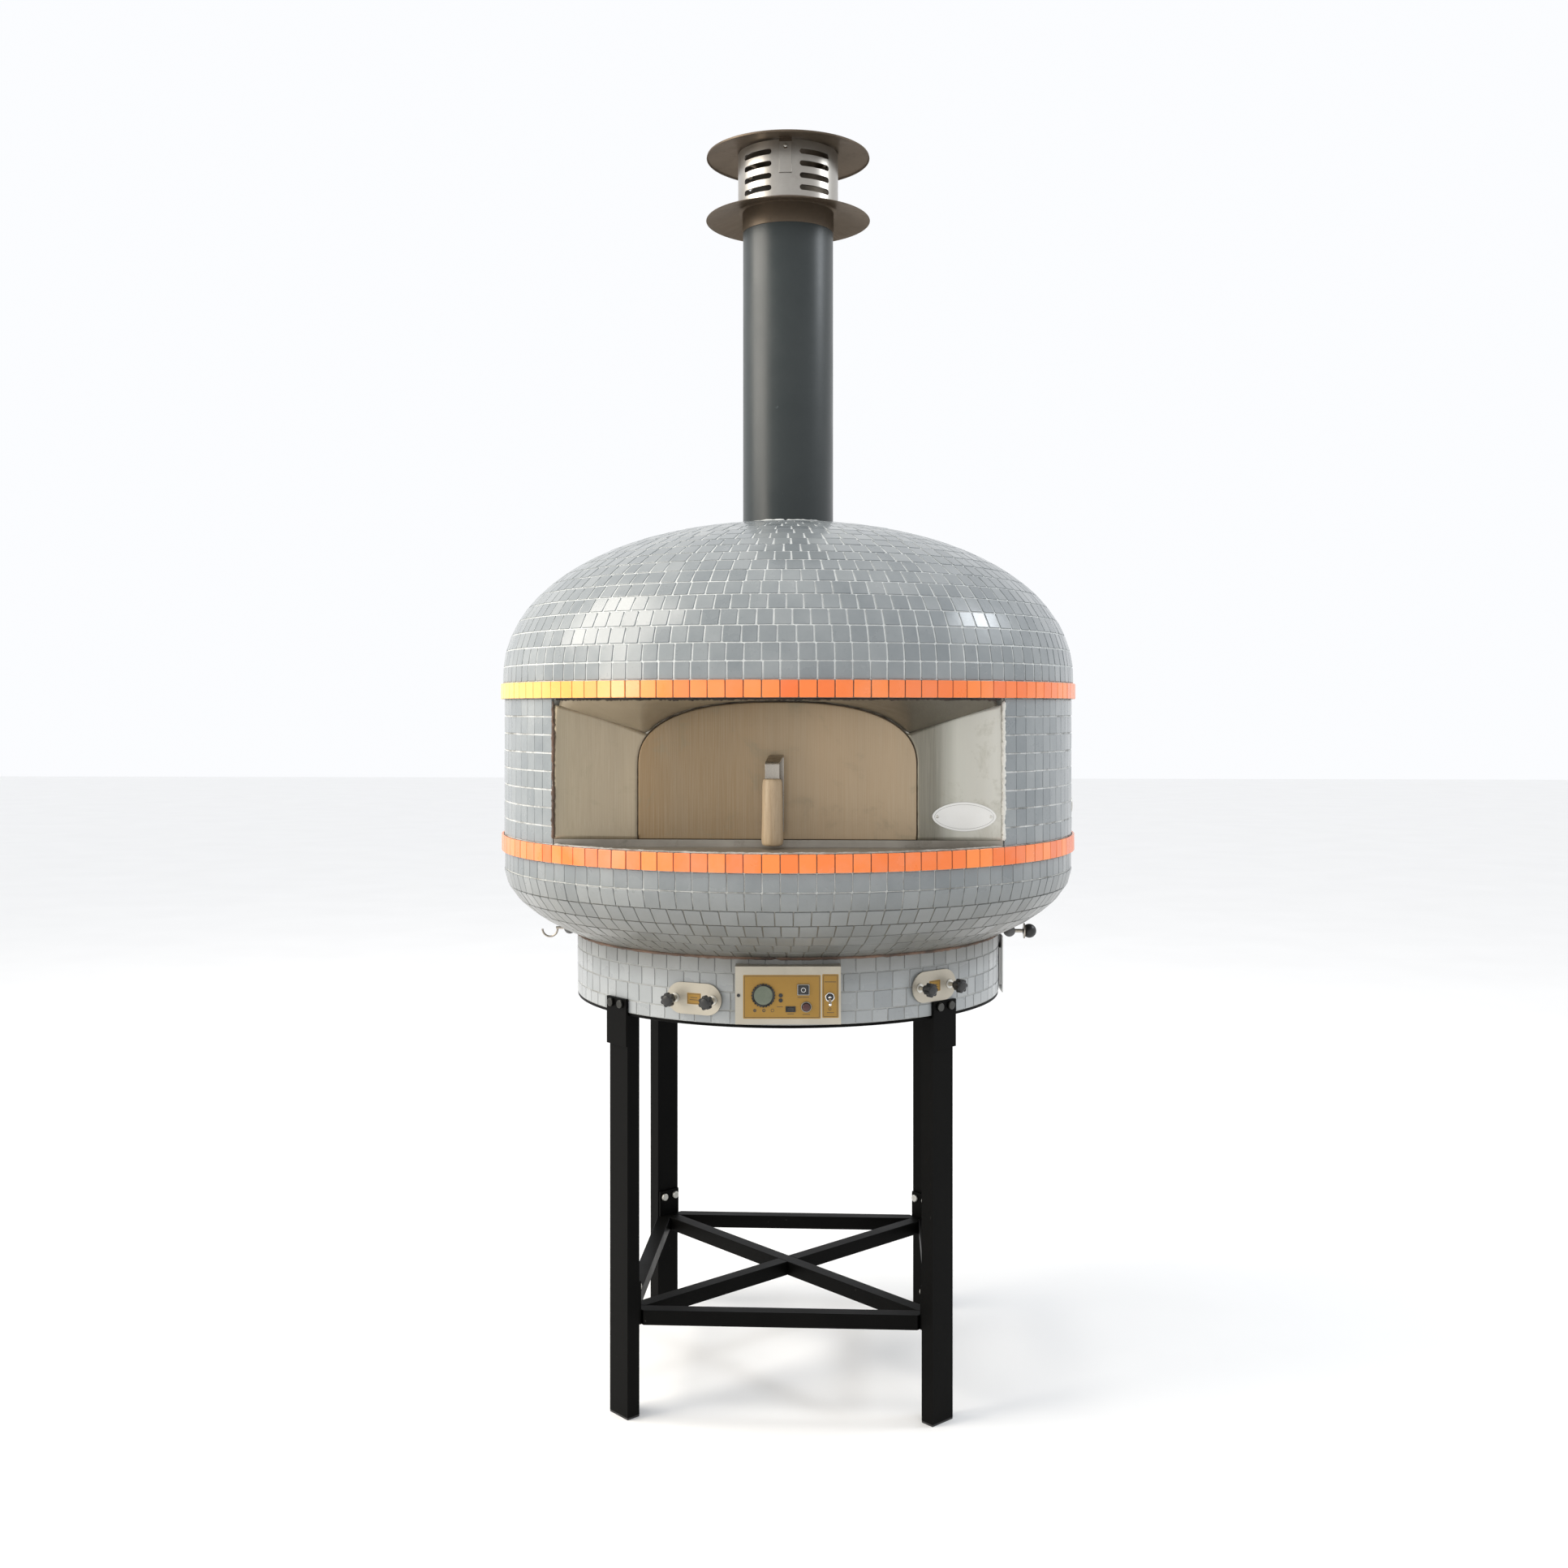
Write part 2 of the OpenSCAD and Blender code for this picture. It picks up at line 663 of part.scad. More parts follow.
// Ruled sheet from the arch and the cheeks' tops out to the upper band.
function hood_x(i) = (cheek_out_x - 10) * (2 * i / hood_steps - 1);
function hood_out_x(i) = hood_x(i) * 0.99;
function hood_ring(i, up) = [
    [hood_x(i), -(face_y - sheet_t), hood_in_z(hood_x(i)) + up],
    [hood_out_x(i), -sqrt(hood_out_r * hood_out_r - hood_out_x(i) * hood_out_x(i)),
        hood_out_z + up * 0.9]];
module hood_solid(t) {
    low = [for (i = [0:hood_steps]) each hood_ring(i, 0)];
    high = [for (i = [0:hood_steps]) each hood_ring(i, t)];
    n = len(low);
    last = 2 * hood_steps;
    faces = concat(
        [for (i = [0:hood_steps - 1]) each let (k = 2 * i) [
            [k, k + 1, k + 3], [k, k + 3, k + 2],
            [n + k, n + k + 3, n + k + 1], [n + k, n + k + 2, n + k + 3],
            [k, k + 2, n + k + 2], [k, n + k + 2, n + k],
            [k + 1, n + k + 3, k + 3], [k + 1, n + k + 1, n + k + 3]]],
        [[0, n, n + 1], [0, n + 1, 1], [last, last + 1, n + last + 1],
            [last, n + last + 1, n + last]]);
    polyhedron(points = concat(low, high), faces = faces);
}
module mouth_hood() { color([0.55, 0.52, 0.45]) hood_solid(sheet_t); }
module hood_space() {
    front_box(1400, face_y - sheet_t - 0.5, 900, wall_z, up_band_z);
}

// Sheets of the mouth's floor: the lowered floor in front of the door, the riser at the
// door's foot and the strip under the door.
module sill_plate() {
    back_y = face_y - sheet_t;
    rise_w = 2 * cheek_out_x;
    color([0.5, 0.49, 0.46]) {
        intersection() {
            translate([0, 0, recess_z]) cylinder(r = lip_r, h = 2.5);
            front_box(3 * lip_r, face_y, 900, recess_z - 1, wall_z);
        }
        intersection() {
            cylinder(r = lip_r, h = wall_z + 0.2);
            front_box(rise_w, back_y, face_y, recess_z, wall_z + 0.2);
        }
        front_box(rise_w, back_y, face_y, wall_z + 0.2, sill_top_z);
        front_box(2 * door_hw, seat_y, back_y, kerb_z, sill_top_z);
    }
}

// Blank oval plate with two rivets on the right cheek.
module name_plate() {
    arc_r = 79;
    arc_off = 49;
    plate_t = 1;
    color([0.9, 0.9, 0.88]) {
        intersection() {
            front_rod(arc_r, face_y, face_y + plate_t, plate_x, plate_z - arc_off);
            front_rod(arc_r, face_y, face_y + plate_t, plate_x, plate_z + arc_off);
        }
        for (s = [-1, 1])
            front_rod(3, face_y + plate_t / 2, face_y + plate_t + 1.5, plate_x + s * 50,
                plate_z);
    }
}

// Door --------------------------------------------------------------------------

// Insulated plug door that stands on the sill against the cast portal.
module door_panel() {
    color([0.62, 0.53, 0.4])
        arch_block(door_hw, door_z, door_side_z, door_rise, face_y - door_t + 1, face_y + 1);
}

// Bent flat bar that holds the grip off the door.
module door_bracket() {
    y0 = face_y + 1;
    color([0.65, 0.65, 0.62]) {
        front_box(bracket_w, y0, y0 + bracket_t, bracket_top_z - 150, bracket_top_z);
        front_box(bracket_w, y0, y0 + bracket_out, bracket_top_z - bracket_t, bracket_top_z);
        front_box(bracket_w, y0 + bracket_out - bracket_t, y0 + bracket_out,
            grip_high_z, bracket_top_z);
        front_rod(5, y0 + bracket_t, y0 + bracket_t + 3, 0, bracket_top_z - 25);
        front_rod(5, y0 + bracket_t, y0 + bracket_t + 3, 0, bracket_top_z - 130);
    }
}

// Turned wooden grip that hangs from the bracket.
module door_grip() {
    color([0.8, 0.7, 0.55])
        translate([grip_x, -(face_y + 1 + bracket_out - 6), grip_low_z]) rotate_extrude()
            polygon([[0, 0], [grip_r, 0], [grip_r + 1, 8], [grip_r, 60],
                [grip_r - 1.5, grip_high_z - grip_low_z - 2],
                [grip_r - 3.5, grip_high_z - grip_low_z], [0, grip_high_z - grip_low_z]]);
}

// Flue ----------------------------------------------------------------------------

// Painted pipe from the chamber's crown up to the cowl.
module flue_pipe() {
    foot_z = kerb_z + chamber_h + cast_t - 2;
    color([0.25, 0.26, 0.27]) ring(flue_r - 1.5, flue_r, foot_z, flue_top_z);
}

// Socket and rain skirt under the cowl drum.
module cowl_skirt() {
    color([0.75, 0.73, 0.68]) {
        ring(flue_r, flue_r + 1.5, flue_top_z - 14, louver_z - 8);
        rotate_extrude() polygon([[flue_r + 1, louver_z - 9.6], [flue_r + 1, louver_z - 8],
            [louver_r, louver_z - 6], [louver_r, louver_z], [cowl_r, skirt_z + 1.5],
            [cowl_r + 1, skirt_z], [cowl_r - 1, skirt_z], [louver_r, louver_z - 7.6]]);
    }
}

// Drum with four rows of slots, five to a row.
module cowl_louver() {
    color([0.72, 0.7, 0.66]) difference() {
        ring(louver_r - 3, louver_r, louver_z, cap_z + 5);
        for (row = [0:3], col = [0:4])
            rotate([0, 0, 36 + 72 * col])
                slot(louver_z + 18 + slot_pitch * row);
    }
}
module slot(z) {
    end = louver_r * sin(slot_span / 2) - slot_h / 2;
    front_box(2 * end, louver_r - 20, louver_r + 5, z - slot_h / 2, z + slot_h / 2);
    for (s = [-1, 1]) front_rod(slot_h / 2, louver_r - 20, louver_r + 5, s * end, z);
}

// Shallow cone over the drum, held by three straps.
module cowl_cap() {
    t = 1.5;
    color([0.78, 0.76, 0.72]) {
        rotate_extrude() polygon([[0, cap_z + cap_rise - t], [0, cap_z + cap_rise],
            [cowl_r - 1, cap_z + t], [cowl_r, cap_z - 3], [cowl_r - t, cap_z - 3],
            [cowl_r - 2.5, cap_z]]);
        for (a = [0, 144, -144]) around(a) {
            front_box(strap_w, louver_r + 0.2, louver_r + 2.2, louver_z + 48, cap_z + 9);
            front_rod(4, louver_r + 2, louver_r + 4.5, 0, cap_z - 12);
        }
    }
}

// Controls ------------------------------------------------------------------------

// Folded box that passes through the drum's window, with its fascia.
module control_box() {
    back = box_back_y;
    color([0.78, 0.75, 0.68]) around(box_angle) difference() {
        front_box(box_w - 0.6, back, box_y, box_z - box_h / 2 + 0.3, box_z + box_h / 2 - 0.3);
        front_box(box_w - 0.6 - 2 * panel_t, back - 1, box_y - panel_t,
            box_z - box_h / 2 + panel_t, box_z + box_h / 2 - panel_t);
        front_rod(19, back, box_y + 1, display_u, box_z);
        front_box_at(square_u, square_z, 19.4, 17.4);
        front_rod(8.3, back, box_y + 1, round_u, round_z);
        front_box_at(rocker_u, rocker_z, 15.4, 7.6);
        front_rod(5, back, box_y + 1, toggle_u, toggle_z);
    }
}
module front_box_at(u, z, w, h) {
    translate([u, 0, 0]) front_box(w, box_back_y, box_y + 1, z - h / 2, z + h / 2);
}

// Round display with a black toothed bezel.
module display() {
    teeth = 24;
    color([0.15, 0.16, 0.15]) around(box_angle) {
        difference() {
            union() {
                front_rod(21.5, box_y, box_y + 3, display_u, box_z);
                for (i = [0:teeth - 1]) translate([display_u, 0, box_z])
                    rotate([0, 360 / teeth * i, 0]) front_box(2.6, box_y, box_y + 3, 20.5, 23);
            }
            front_rod(18.7, box_y - 1, box_y + 4, display_u, box_z);
        }
        front_rod(18.7, box_y - 14, box_y + 1.6, display_u, box_z);
    }
}

// A pin or its bore across the fascia, centred on u.
module cross_pin(u, y, z, r, half) {
    translate([u - half, -y, z]) rotate([0, 90, 0]) cylinder(r = r, h = 2 * half);
}

// Fixed parts of the switches: the frames, the lamps, the toggle's nut and a screw.
module switch_bodies() {
    color([0.2, 0.2, 0.2]) around(box_angle) {
        difference() {
            translate([square_u, 0, 0])
                front_box(23.4, box_y, box_y + 2.5, square_z - 10.4, square_z + 10.4);
            translate([square_u, 0, 0])
                front_box(19, box_y - 1, box_y + 4, square_z - 8.5, square_z + 8.5);
        }
        difference() {
            front_rod(10.1, box_y, box_y + 2.5, round_u, round_z);
            front_rod(8.1, box_y - 1, box_y + 4, round_u, round_z);
        }
        difference() {
            translate([rocker_u, 0, 0])
                front_box(19.3, box_y, box_y + 1.5, rocker_z - 5.5, rocker_z + 5.5);
            translate([rocker_u, 0, 0])
                front_box(15.2, box_y - 1, box_y + 4, rocker_z - 3.7, rocker_z + 3.7);
        }
        difference() {
            translate([rocker_u, 0, 0])
                front_box(18, box_y - 11, box_y - panel_t, rocker_z - 6, rocker_z + 6);
            translate([rocker_u, 0, 0])
                front_box(16, box_y - 12, box_y, rocker_z - 3.7, rocker_z + 3.7);
            translate([rocker_u, rocker_in - box_y, rocker_z - 7])
                cylinder(r = pin_r + running_gap, h = 14);
        }
        for (dz = [0, -9.5]) front_rod(3.9, box_y, box_y + 1.5, -14.2, box_z + dz);
        difference() {
            union() {
                front_rod(8.3, box_y, box_y + 3, toggle_u, toggle_z);
                front_rod(6, box_y + 3, box_y + toggle_out + 2, toggle_u, toggle_z);
            }
            front_rod(4.2, box_y - 1, box_y + toggle_out + 3, toggle_u, toggle_z);
            cross_pin(toggle_u, box_y + toggle_out, toggle_z, pin_r + running_gap, 8);
        }
        front_rod(3.2, box_y, box_y + 1.5, -95.3, box_z);
    }
}

// Push buttons, the rocker and the toggle's lever.
module square_button() {
    color([0.12, 0.12, 0.12]) around(box_angle) translate([square_u, 0, 0])
        front_box(18.2, box_y - 10, box_y + 4.5, square_z - 8.1, square_z + 8.1);
}
module round_button() {
    color([0.1, 0.1, 0.1]) around(box_angle)
        front_rod(7.6, box_y - 10, box_y + 5.5, round_u, round_z);
}
module rocker() {
    color([0.12, 0.12, 0.12]) around(box_angle) translate([rocker_u, 0, 0])
        union() {
            translate([0, 0, rocker_z - 3.3]) linear_extrude(height = 6.6)
                polygon([[-6.9, 8 - box_y], [-6.9, -box_y - 3.6], [0, -box_y - 2],
                    [6.9, -box_y - 3.6], [6.9, 8 - box_y]]);
            translate([0, rocker_in - box_y, rocker_z - 5.5]) cylinder(r = pin_r, h = 11);
        }
}
module toggle_lever() {
    color([0.85, 0.85, 0.85]) around(box_angle)
        translate([toggle_u, -box_y - toggle_out, toggle_z]) rotate([90 + 32, 0, 0]) {
            sphere(r = 3.6);
            cylinder(r1 = 2, r2 = 3.1, h = 20);
            translate([0, 0, 20]) sphere(r = 3.1);
            translate([-5, 0, 0]) rotate([0, 90, 0]) cylinder(r = pin_r, h = 10);
        }
}

// Ports and side fittings -----------------------------------------------------------

// The two port covers with their threaded studs.
module port_covers() {
    color([0.82, 0.8, 0.74]) for (i = [0, 1]) around(port_angles[i]) {
        for (s = [-1, 1]) {
            front_rod(port_h / 2, drum_r + 1, drum_r + 4, s * (port_len - port_h) / 2,
                port_z[i]);
            front_rod(stud_r, drum_r - 24, drum_r + stud_len, s * stud_off, port_z[i]);
        }
        front_box(port_len - port_h, drum_r + 1, drum_r + 4, port_z[i] - port_h / 2,
            port_z[i] + port_h / 2);
        front_box(port_len - 34, drum_r - 18, drum_r + 1, port_z[i] - 20, port_z[i] + 20);
    }
}

// A seven-lobed knob that runs on a stud.
module star_knob(port, side) {
    lobes = 7;
    y0 = drum_r + 20;
    color([0.08, 0.08, 0.08]) around(port_angles[port])
        translate([side * stud_off, -y0, port_z[port]]) rotate([90, 0, 0]) difference() {
            union() {
                cylinder(r = 8, h = 10);
                translate([0, 0, 8]) cylinder(r = 11, h = 14);
                for (k = [0:lobes - 1]) rotate([0, 0, 360 / lobes * k])
                    translate([knob_r - 4, 0, 9]) cylinder(r = 4, h = 12);
            }
            translate([0, 0, -1]) cylinder(r = stud_r + running_gap, h = 60);
        }
}
module star_knob_1() { star_knob(0, -1); }
module star_knob_2() { star_knob(0, 1); }
module star_knob_3() { star_knob(1, -1); }
module star_knob_4() { star_knob(1, 1); }

// A tool hook and a damper's pull knob beside the drum, and the thermometer in the wall.
module side_fittings() {
    fitting_z = 947;
    hook_r = 17;
    ball_x = 533;
    color([0.5, 0.5, 0.48]) {
        for (s = [-1, 1]) {
            translate([s * drum_r, 0, fitting_z]) rotate([0, s * 90, 0])
                cylinder(r = 5, h = 24);
            translate([s * (drum_r + 25), 0, fitting_z]) sphere(r = 13);
        }
        translate([-drum_r - 29, 0, fitting_z]) rotate([0, -90, 0]) cylinder(r = 3, h = 27);
        translate([-534, 0, fitting_z - 3]) rotate([90, 0, 180])
            rotate_extrude(angle = -190) translate([hook_r, 0]) circle(r = 2.2);
        translate([drum_r + 29, 0, fitting_z]) rotate([0, 90, 0])
            cylinder(r = 4, h = ball_x - drum_r - 29);
        translate([ball_x - 13, 0, fitting_z]) rotate([0, 90, 0]) cylinder(r = 17, h = 3);
    }
    color([0.12, 0.11, 0.1]) translate([ball_x, 0, fitting_z]) sphere(r = 15);
    color([0.45, 0.25, 0.22]) around(92) front_rod(17, wall_r, up_band_r - 0.5, 0, 1224);
}

leg_front_left();
leg_front_right();
leg_rear_left();
leg_rear_right();
foot_plugs();
stand_bolts();
rail_front();
rail_rear();
rail_left();
rail_right();
brace_long();
brace_halves();
corner_tabs();
drum_base_plate();
drum_shell();
drum_tiles();
service_cover();
cable_gland();
bowl_shell();
bowl_tiles();
floor_plate();
base_insulation();
kerb_ring();
hearth_motor();
hearth_bearing();
hearth_shaft();
hearth_carrier();
hearth_disc();
cast_dome();
dome_insulation();
render_shell();
dome_tiles();
upper_band();
wall_tiles();
lower_band();
cheek_plates();
throat_liner();
mouth_hood();
sill_plate();
name_plate();
door_panel();
door_bracket();
door_grip();
flue_pipe();
cowl_skirt();
cowl_louver();
cowl_cap();
control_box();
display();
switch_bodies();
square_button();
round_button();
rocker();
toggle_lever();
port_covers();
star_knob_1();
star_knob_2();
star_knob_3();
star_knob_4();
side_fittings();
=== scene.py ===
"""Looks of a wood fired pizza oven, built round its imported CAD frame.

Metres, +Z up, the mouth faces -Y. Angles about the axis are measured from the
front toward +X, so angle a lies at (sin a, -cos a).
"""
import json
import math
import random

import bmesh
import bpy
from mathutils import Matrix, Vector, noise


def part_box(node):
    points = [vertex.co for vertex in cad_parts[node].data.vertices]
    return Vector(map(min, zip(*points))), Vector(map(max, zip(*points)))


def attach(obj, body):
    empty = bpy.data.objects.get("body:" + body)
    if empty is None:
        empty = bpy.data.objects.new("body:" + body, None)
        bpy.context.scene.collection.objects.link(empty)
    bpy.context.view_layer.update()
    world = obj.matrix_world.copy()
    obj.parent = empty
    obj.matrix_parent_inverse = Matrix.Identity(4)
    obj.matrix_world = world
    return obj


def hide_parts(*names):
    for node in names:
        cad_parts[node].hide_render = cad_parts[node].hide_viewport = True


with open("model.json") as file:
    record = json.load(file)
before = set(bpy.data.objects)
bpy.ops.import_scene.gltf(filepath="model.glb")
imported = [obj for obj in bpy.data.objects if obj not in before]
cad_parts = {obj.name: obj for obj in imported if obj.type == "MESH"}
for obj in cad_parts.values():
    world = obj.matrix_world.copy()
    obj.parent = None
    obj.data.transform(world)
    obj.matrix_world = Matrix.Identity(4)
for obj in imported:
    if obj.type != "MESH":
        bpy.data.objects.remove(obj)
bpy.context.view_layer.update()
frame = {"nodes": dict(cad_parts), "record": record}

RECORD = frame["record"]
NODE_BODY = {n: b for b, nodes in RECORD["behaviour"]["bodies"].items() for n in nodes}
NODE_SLOT = {s["node"]: s["material_slot"] for s in RECORD["subparts"]}
MM = 0.001
SIDES = ((-1, "left"), (1, "right"))


def high(node, axis):
    """The far side of a CAD node's box along axis 0, 1 or 2."""
    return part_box(node)[1][axis]


def low(node, axis):
    """The near side of a CAD node's box along axis 0, 1 or 2."""
    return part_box(node)[0][axis]


# Driving dimensions, read from the frame where a node's box gives them.
DRUM_R = 0.464
DRUM_LOW, DRUM_TOP = low("drum_tiles", 2), high("drum_tiles", 2)
BOWL_R, BOWL_H, BOWL_Z = 0.620, 0.220, 1.100
WALL_R = 0.621
LOW_BAND_R, UP_BAND_R = 0.627, 0.629
LOW_BAND_Z = low("lower_band", 2)
WALL_Z, UP_BAND_Z = low("wall_tiles", 2), high("wall_tiles", 2)
DOME_FOOT = high("upper_band", 2)
DOME_R, DOME_H, DOME_Z, DOME_N = 0.624, 0.347, 1.500, 2.15
FLUE_R = high("flue_pipe", 0)
MOUTH_HALF = math.radians(45.7)
FACE_Y = -low("cheek_plates", 1)
SILL_Z = high("sill_plate", 2)
FITTING_Z = 0.947          # height of the hook and the pull knob
PULL_X = 0.533             # centre of the pull knob's ball
DIAL_ANGLE, DIAL_Z = math.radians(92), 1.224
PORTS = ((math.radians(-20.3), 0.869), (math.radians(41.7), 0.883))
PORT_FACE = DRUM_R + 4 * MM
KNOB_U = 41 * MM           # a star knob stands this far from its port's middle
KNOB_FACE = 0.5065

# The control box: its bearing, its face and the places of what is set in it.
BOX_ANGLE = math.radians(2.9)
FASCIA_Y = 0.490
BOX_Z = 0.886
DISPLAY_U = -47.6 * MM
SQUARE_U, SQUARE_Z = 29.5 * MM, BOX_Z + 11 * MM
ROUND_U, ROUND_Z = 35 * MM, BOX_Z - 22 * MM
ROCKER_U, ROCKER_Z = 4.8 * MM, BOX_Z - 26.5 * MM
TOGGLE_U, TOGGLE_Z = 80.3 * MM, BOX_Z - 3 * MM

# Mosaic
AROUND = 116            # tiles in a full ring of the wall
TILE_W = 31.8 * MM      # face of one tile
JOINT = 2.4 * MM
GROUT_DEPTH = 1.5 * MM  # the joints lie this far under the tiles' faces
TILE_BODY = 4.5 * MM    # depth of a tile's sides


# --- Small helpers ---

def polar(angle, r, z):
    return Vector((math.sin(angle) * r, -math.cos(angle) * r, z))


def link(name, mesh):
    ob = bpy.data.objects.new(name, mesh)
    bpy.context.collection.objects.link(ob)
    return ob


def smooth(mesh):
    mesh.polygons.foreach_set("use_smooth", [True] * len(mesh.polygons))


def mesh_object(name, verts, faces):
    mesh = bpy.data.meshes.new(name)
    mesh.from_pydata([tuple(v) for v in verts], [], faces)
    mesh.update()
    return link(name, mesh)


def clean_normals(mesh):
    bm = bmesh.new()
    bm.from_mesh(mesh)
    bmesh.ops.recalc_face_normals(bm, faces=bm.faces)
    bm.to_mesh(mesh)
    bm.free()


def face_away(mesh, axis):
    """Turns an open sheet's faces so that none looks up an axis."""
    bm = bmesh.new()
    bm.from_mesh(mesh)
    for f in bm.faces:
        f.normal_update()
        if f.normal[axis] > 0:
            f.normal_flip()
    bm.to_mesh(mesh)
    bm.free()


def loft(rings, n, loop=False, first=0):
    """The faces between rings of n points; capped at both ends unless they make a loop."""
    faces = []
    for k in range(rings if loop else rings - 1):
        a, b = first + k * n, first + (k + 1) % rings * n
        for i in range(n):
            j = (i + 1) % n
            faces.append((a + i, a + j, b + j, b + i))
    if not loop:
        faces.append(tuple(range(first, first + n))[::-1])
        faces.append(tuple(range(first + (rings - 1) * n, first + rings * n)))
    return faces


def grid(columns, rows, first=0):
    """The faces of a sheet of points laid out column by column."""
    n = rows + 1
    corners = [first + i * n + j for i in range(columns) for j in range(rows)]
    return [(a, a + n, a + n + 1, a + 1) for a in corners]


def thicken(ob, thickness):
    smooth(ob.data)
    m = ob.modifiers.new("sheet", "SOLIDIFY")
    m.thickness = thickness
    m.offset = -1.0


def dress(ob, material, node=None, body="oven", slot=None):
    """Gives a piece its material and its body, and lets it stand for a node."""
    ob.data.materials.clear()
    ob.data.materials.append(material)
    if node:
        body = NODE_BODY[node]
        slot = slot or NODE_SLOT[node]
        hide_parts(node)
    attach(ob, body)
    return ob


def harden(ob, bevel=0.0, segments=2, angle=32):
    """Rounds a piece's sharp edges and keeps its flat faces flat."""
    smooth(ob.data)
    if bevel:
        m = ob.modifiers.new("edges", "BEVEL")
        m.width = bevel
        m.segments = segments
        m.limit_method = "ANGLE"
        m.angle_limit = math.radians(angle)
        m.harden_normals = True
        m.use_clamp_overlap = True
    w = ob.modifiers.new("normals", "WEIGHTED_NORMAL")
    w.keep_sharp = True
    return ob


def refine(node, material, bevel, segments=2):
    """A cleaned copy of a CAD node's mesh with rounded edges, which stands for the node."""
    source = frame["nodes"][node]
    mesh = source.data.copy()
    mesh.name = node + "_piece"
    bm = bmesh.new()
    bm.from_mesh(mesh)
    bmesh.ops.remove_doubles(bm, verts=bm.verts, dist=2e-6)
    bmesh.ops.dissolve_limit(bm, angle_limit=math.radians(0.3), verts=bm.verts, edges=bm.edges)
    bmesh.ops.recalc_face_normals(bm, faces=bm.faces)
    bm.to_mesh(mesh)
    bm.free()
    ob = link(node + "_piece", mesh)
    ob.matrix_world = source.matrix_world.copy()
    harden(ob, bevel, segments)
    return dress(ob, material, node)


# --- Materials ---

class Mat:
    """A small builder of procedural node materials."""

    def __init__(self, name):
        self.mat = bpy.data.materials.new(name)
        self.mat.use_nodes = True
        self.tree = self.mat.node_tree
        self.bsdf = self.tree.nodes["Principled BSDF"]
        coords = self.tree.nodes.new("ShaderNodeTexCoord")
        self.coord = coords.outputs["Object"]

    def node(self, kind, **values):
        n = self.tree.nodes.new(kind)
        for key, value in values.items():
            setattr(n, key, value)
        return n

    def feed(self, socket, value):
        if isinstance(value, bpy.types.NodeSocket):
            self.tree.links.new(value, socket)
        else:
            socket.default_value = value

    def set(self, **values):
        """Feeds the shader's sockets, with _ for a space in a socket's name."""
        for key, value in values.items():
            if isinstance(value, tuple) and len(value) == 3:
                value = (*value, 1.0)
            self.feed(self.bsdf.inputs[key.replace("_", " ")], value)
        return self

    def stretch(self, x, y, z):
        n = self.node("ShaderNodeMapping")
        self.feed(n.inputs["Vector"], self.coord)
        n.inputs["Scale"].default_value = (x, y, z)
        return n.outputs["Vector"]

    def noise(self, scale, detail=4.0, rough=0.55, where=None, distort=0.0):
        n = self.node("ShaderNodeTexNoise")
        self.feed(n.inputs["Vector"], where or self.coord)
        n.inputs["Scale"].default_value = scale
        n.inputs["Detail"].default_value = detail
        n.inputs["Roughness"].default_value = rough
        n.inputs["Distortion"].default_value = distort
        return n.outputs["Fac"]

    def cells(self, scale):
        n = self.node("ShaderNodeTexVoronoi", feature="F1")
        self.feed(n.inputs["Vector"], self.coord)
        n.inputs["Scale"].default_value = scale
        return n.outputs["Distance"]

    def attribute(self, name):
        n = self.node("ShaderNodeAttribute", attribute_name=name)
        split = self.node("ShaderNodeSeparateColor")
        self.feed(split.inputs["Color"], n.outputs["Color"])
        return split.outputs

    def place(self):
        """The X, Y and Z of the shaded point."""
        split = self.node("ShaderNodeSeparateXYZ")
        self.feed(split.inputs["Vector"], self.coord)
        return split.outputs

    def ramp(self, fac, *stops):
        """Stops are (place, value) with a value of 1 or 3 numbers."""
        n = self.node("ShaderNodeValToRGB")
        self.feed(n.inputs["Fac"], fac)
        while len(n.color_ramp.elements) < len(stops):
            n.color_ramp.elements.new(0.5)
        for e, (place, value) in zip(n.color_ramp.elements, stops):
            e.position = place
            rgb = (value,) * 3 if isinstance(value, (int, float)) else value
            e.color = (*rgb, 1.0)
        return n.outputs["Color"]

    def mix(self, fac, a, b):
        n = self.node("ShaderNodeMix", data_type="RGBA")
        self.feed(n.inputs["Factor"], fac)
        sockets = [s for s in n.inputs if s.type == "RGBA"]
        for socket, value in zip(sockets, (a, b)):
            if isinstance(value, tuple):
                value = (*value, 1.0)
            self.feed(socket, value)
        return [s for s in n.outputs if s.type == "RGBA"][0]

    def math(self, op, a, b=0.0, clamp=False):
        n = self.node("ShaderNodeMath", operation=op, use_clamp=clamp)
        self.feed(n.inputs[0], a)
        self.feed(n.inputs[1], b)
        return n.outputs[0]

    def gain(self, value, factor, offset):
        """value * factor + offset"""
        return self.math("ADD", self.math("MULTIPLY", value, factor), offset)

    def stain(self, base, pattern, start, end, amount, color):
        """Lays a colour over the base, by none at a pattern's start and an amount at its end."""
        return self.mix(self.ramp(pattern, (start, 0.0), (end, amount)), base, color)

    def fade(self, axis, zero, one):
        """From 0 to 1 between two places along an axis."""
        n = self.node("ShaderNodeMapRange")
        self.feed(n.inputs["Value"], self.place()[axis])
        n.inputs["From Min"].default_value = zero
        n.inputs["From Max"].default_value = one
        return n.outputs["Result"]

    def bump(self, height, distance, strength=1.0, under=None):
        n = self.node("ShaderNodeBump")
        n.inputs["Strength"].default_value = strength
        n.inputs["Distance"].default_value = distance
        self.feed(n.inputs["Height"], height)
        if under:
            self.feed(n.inputs["Normal"], under)
        return n.outputs["Normal"]


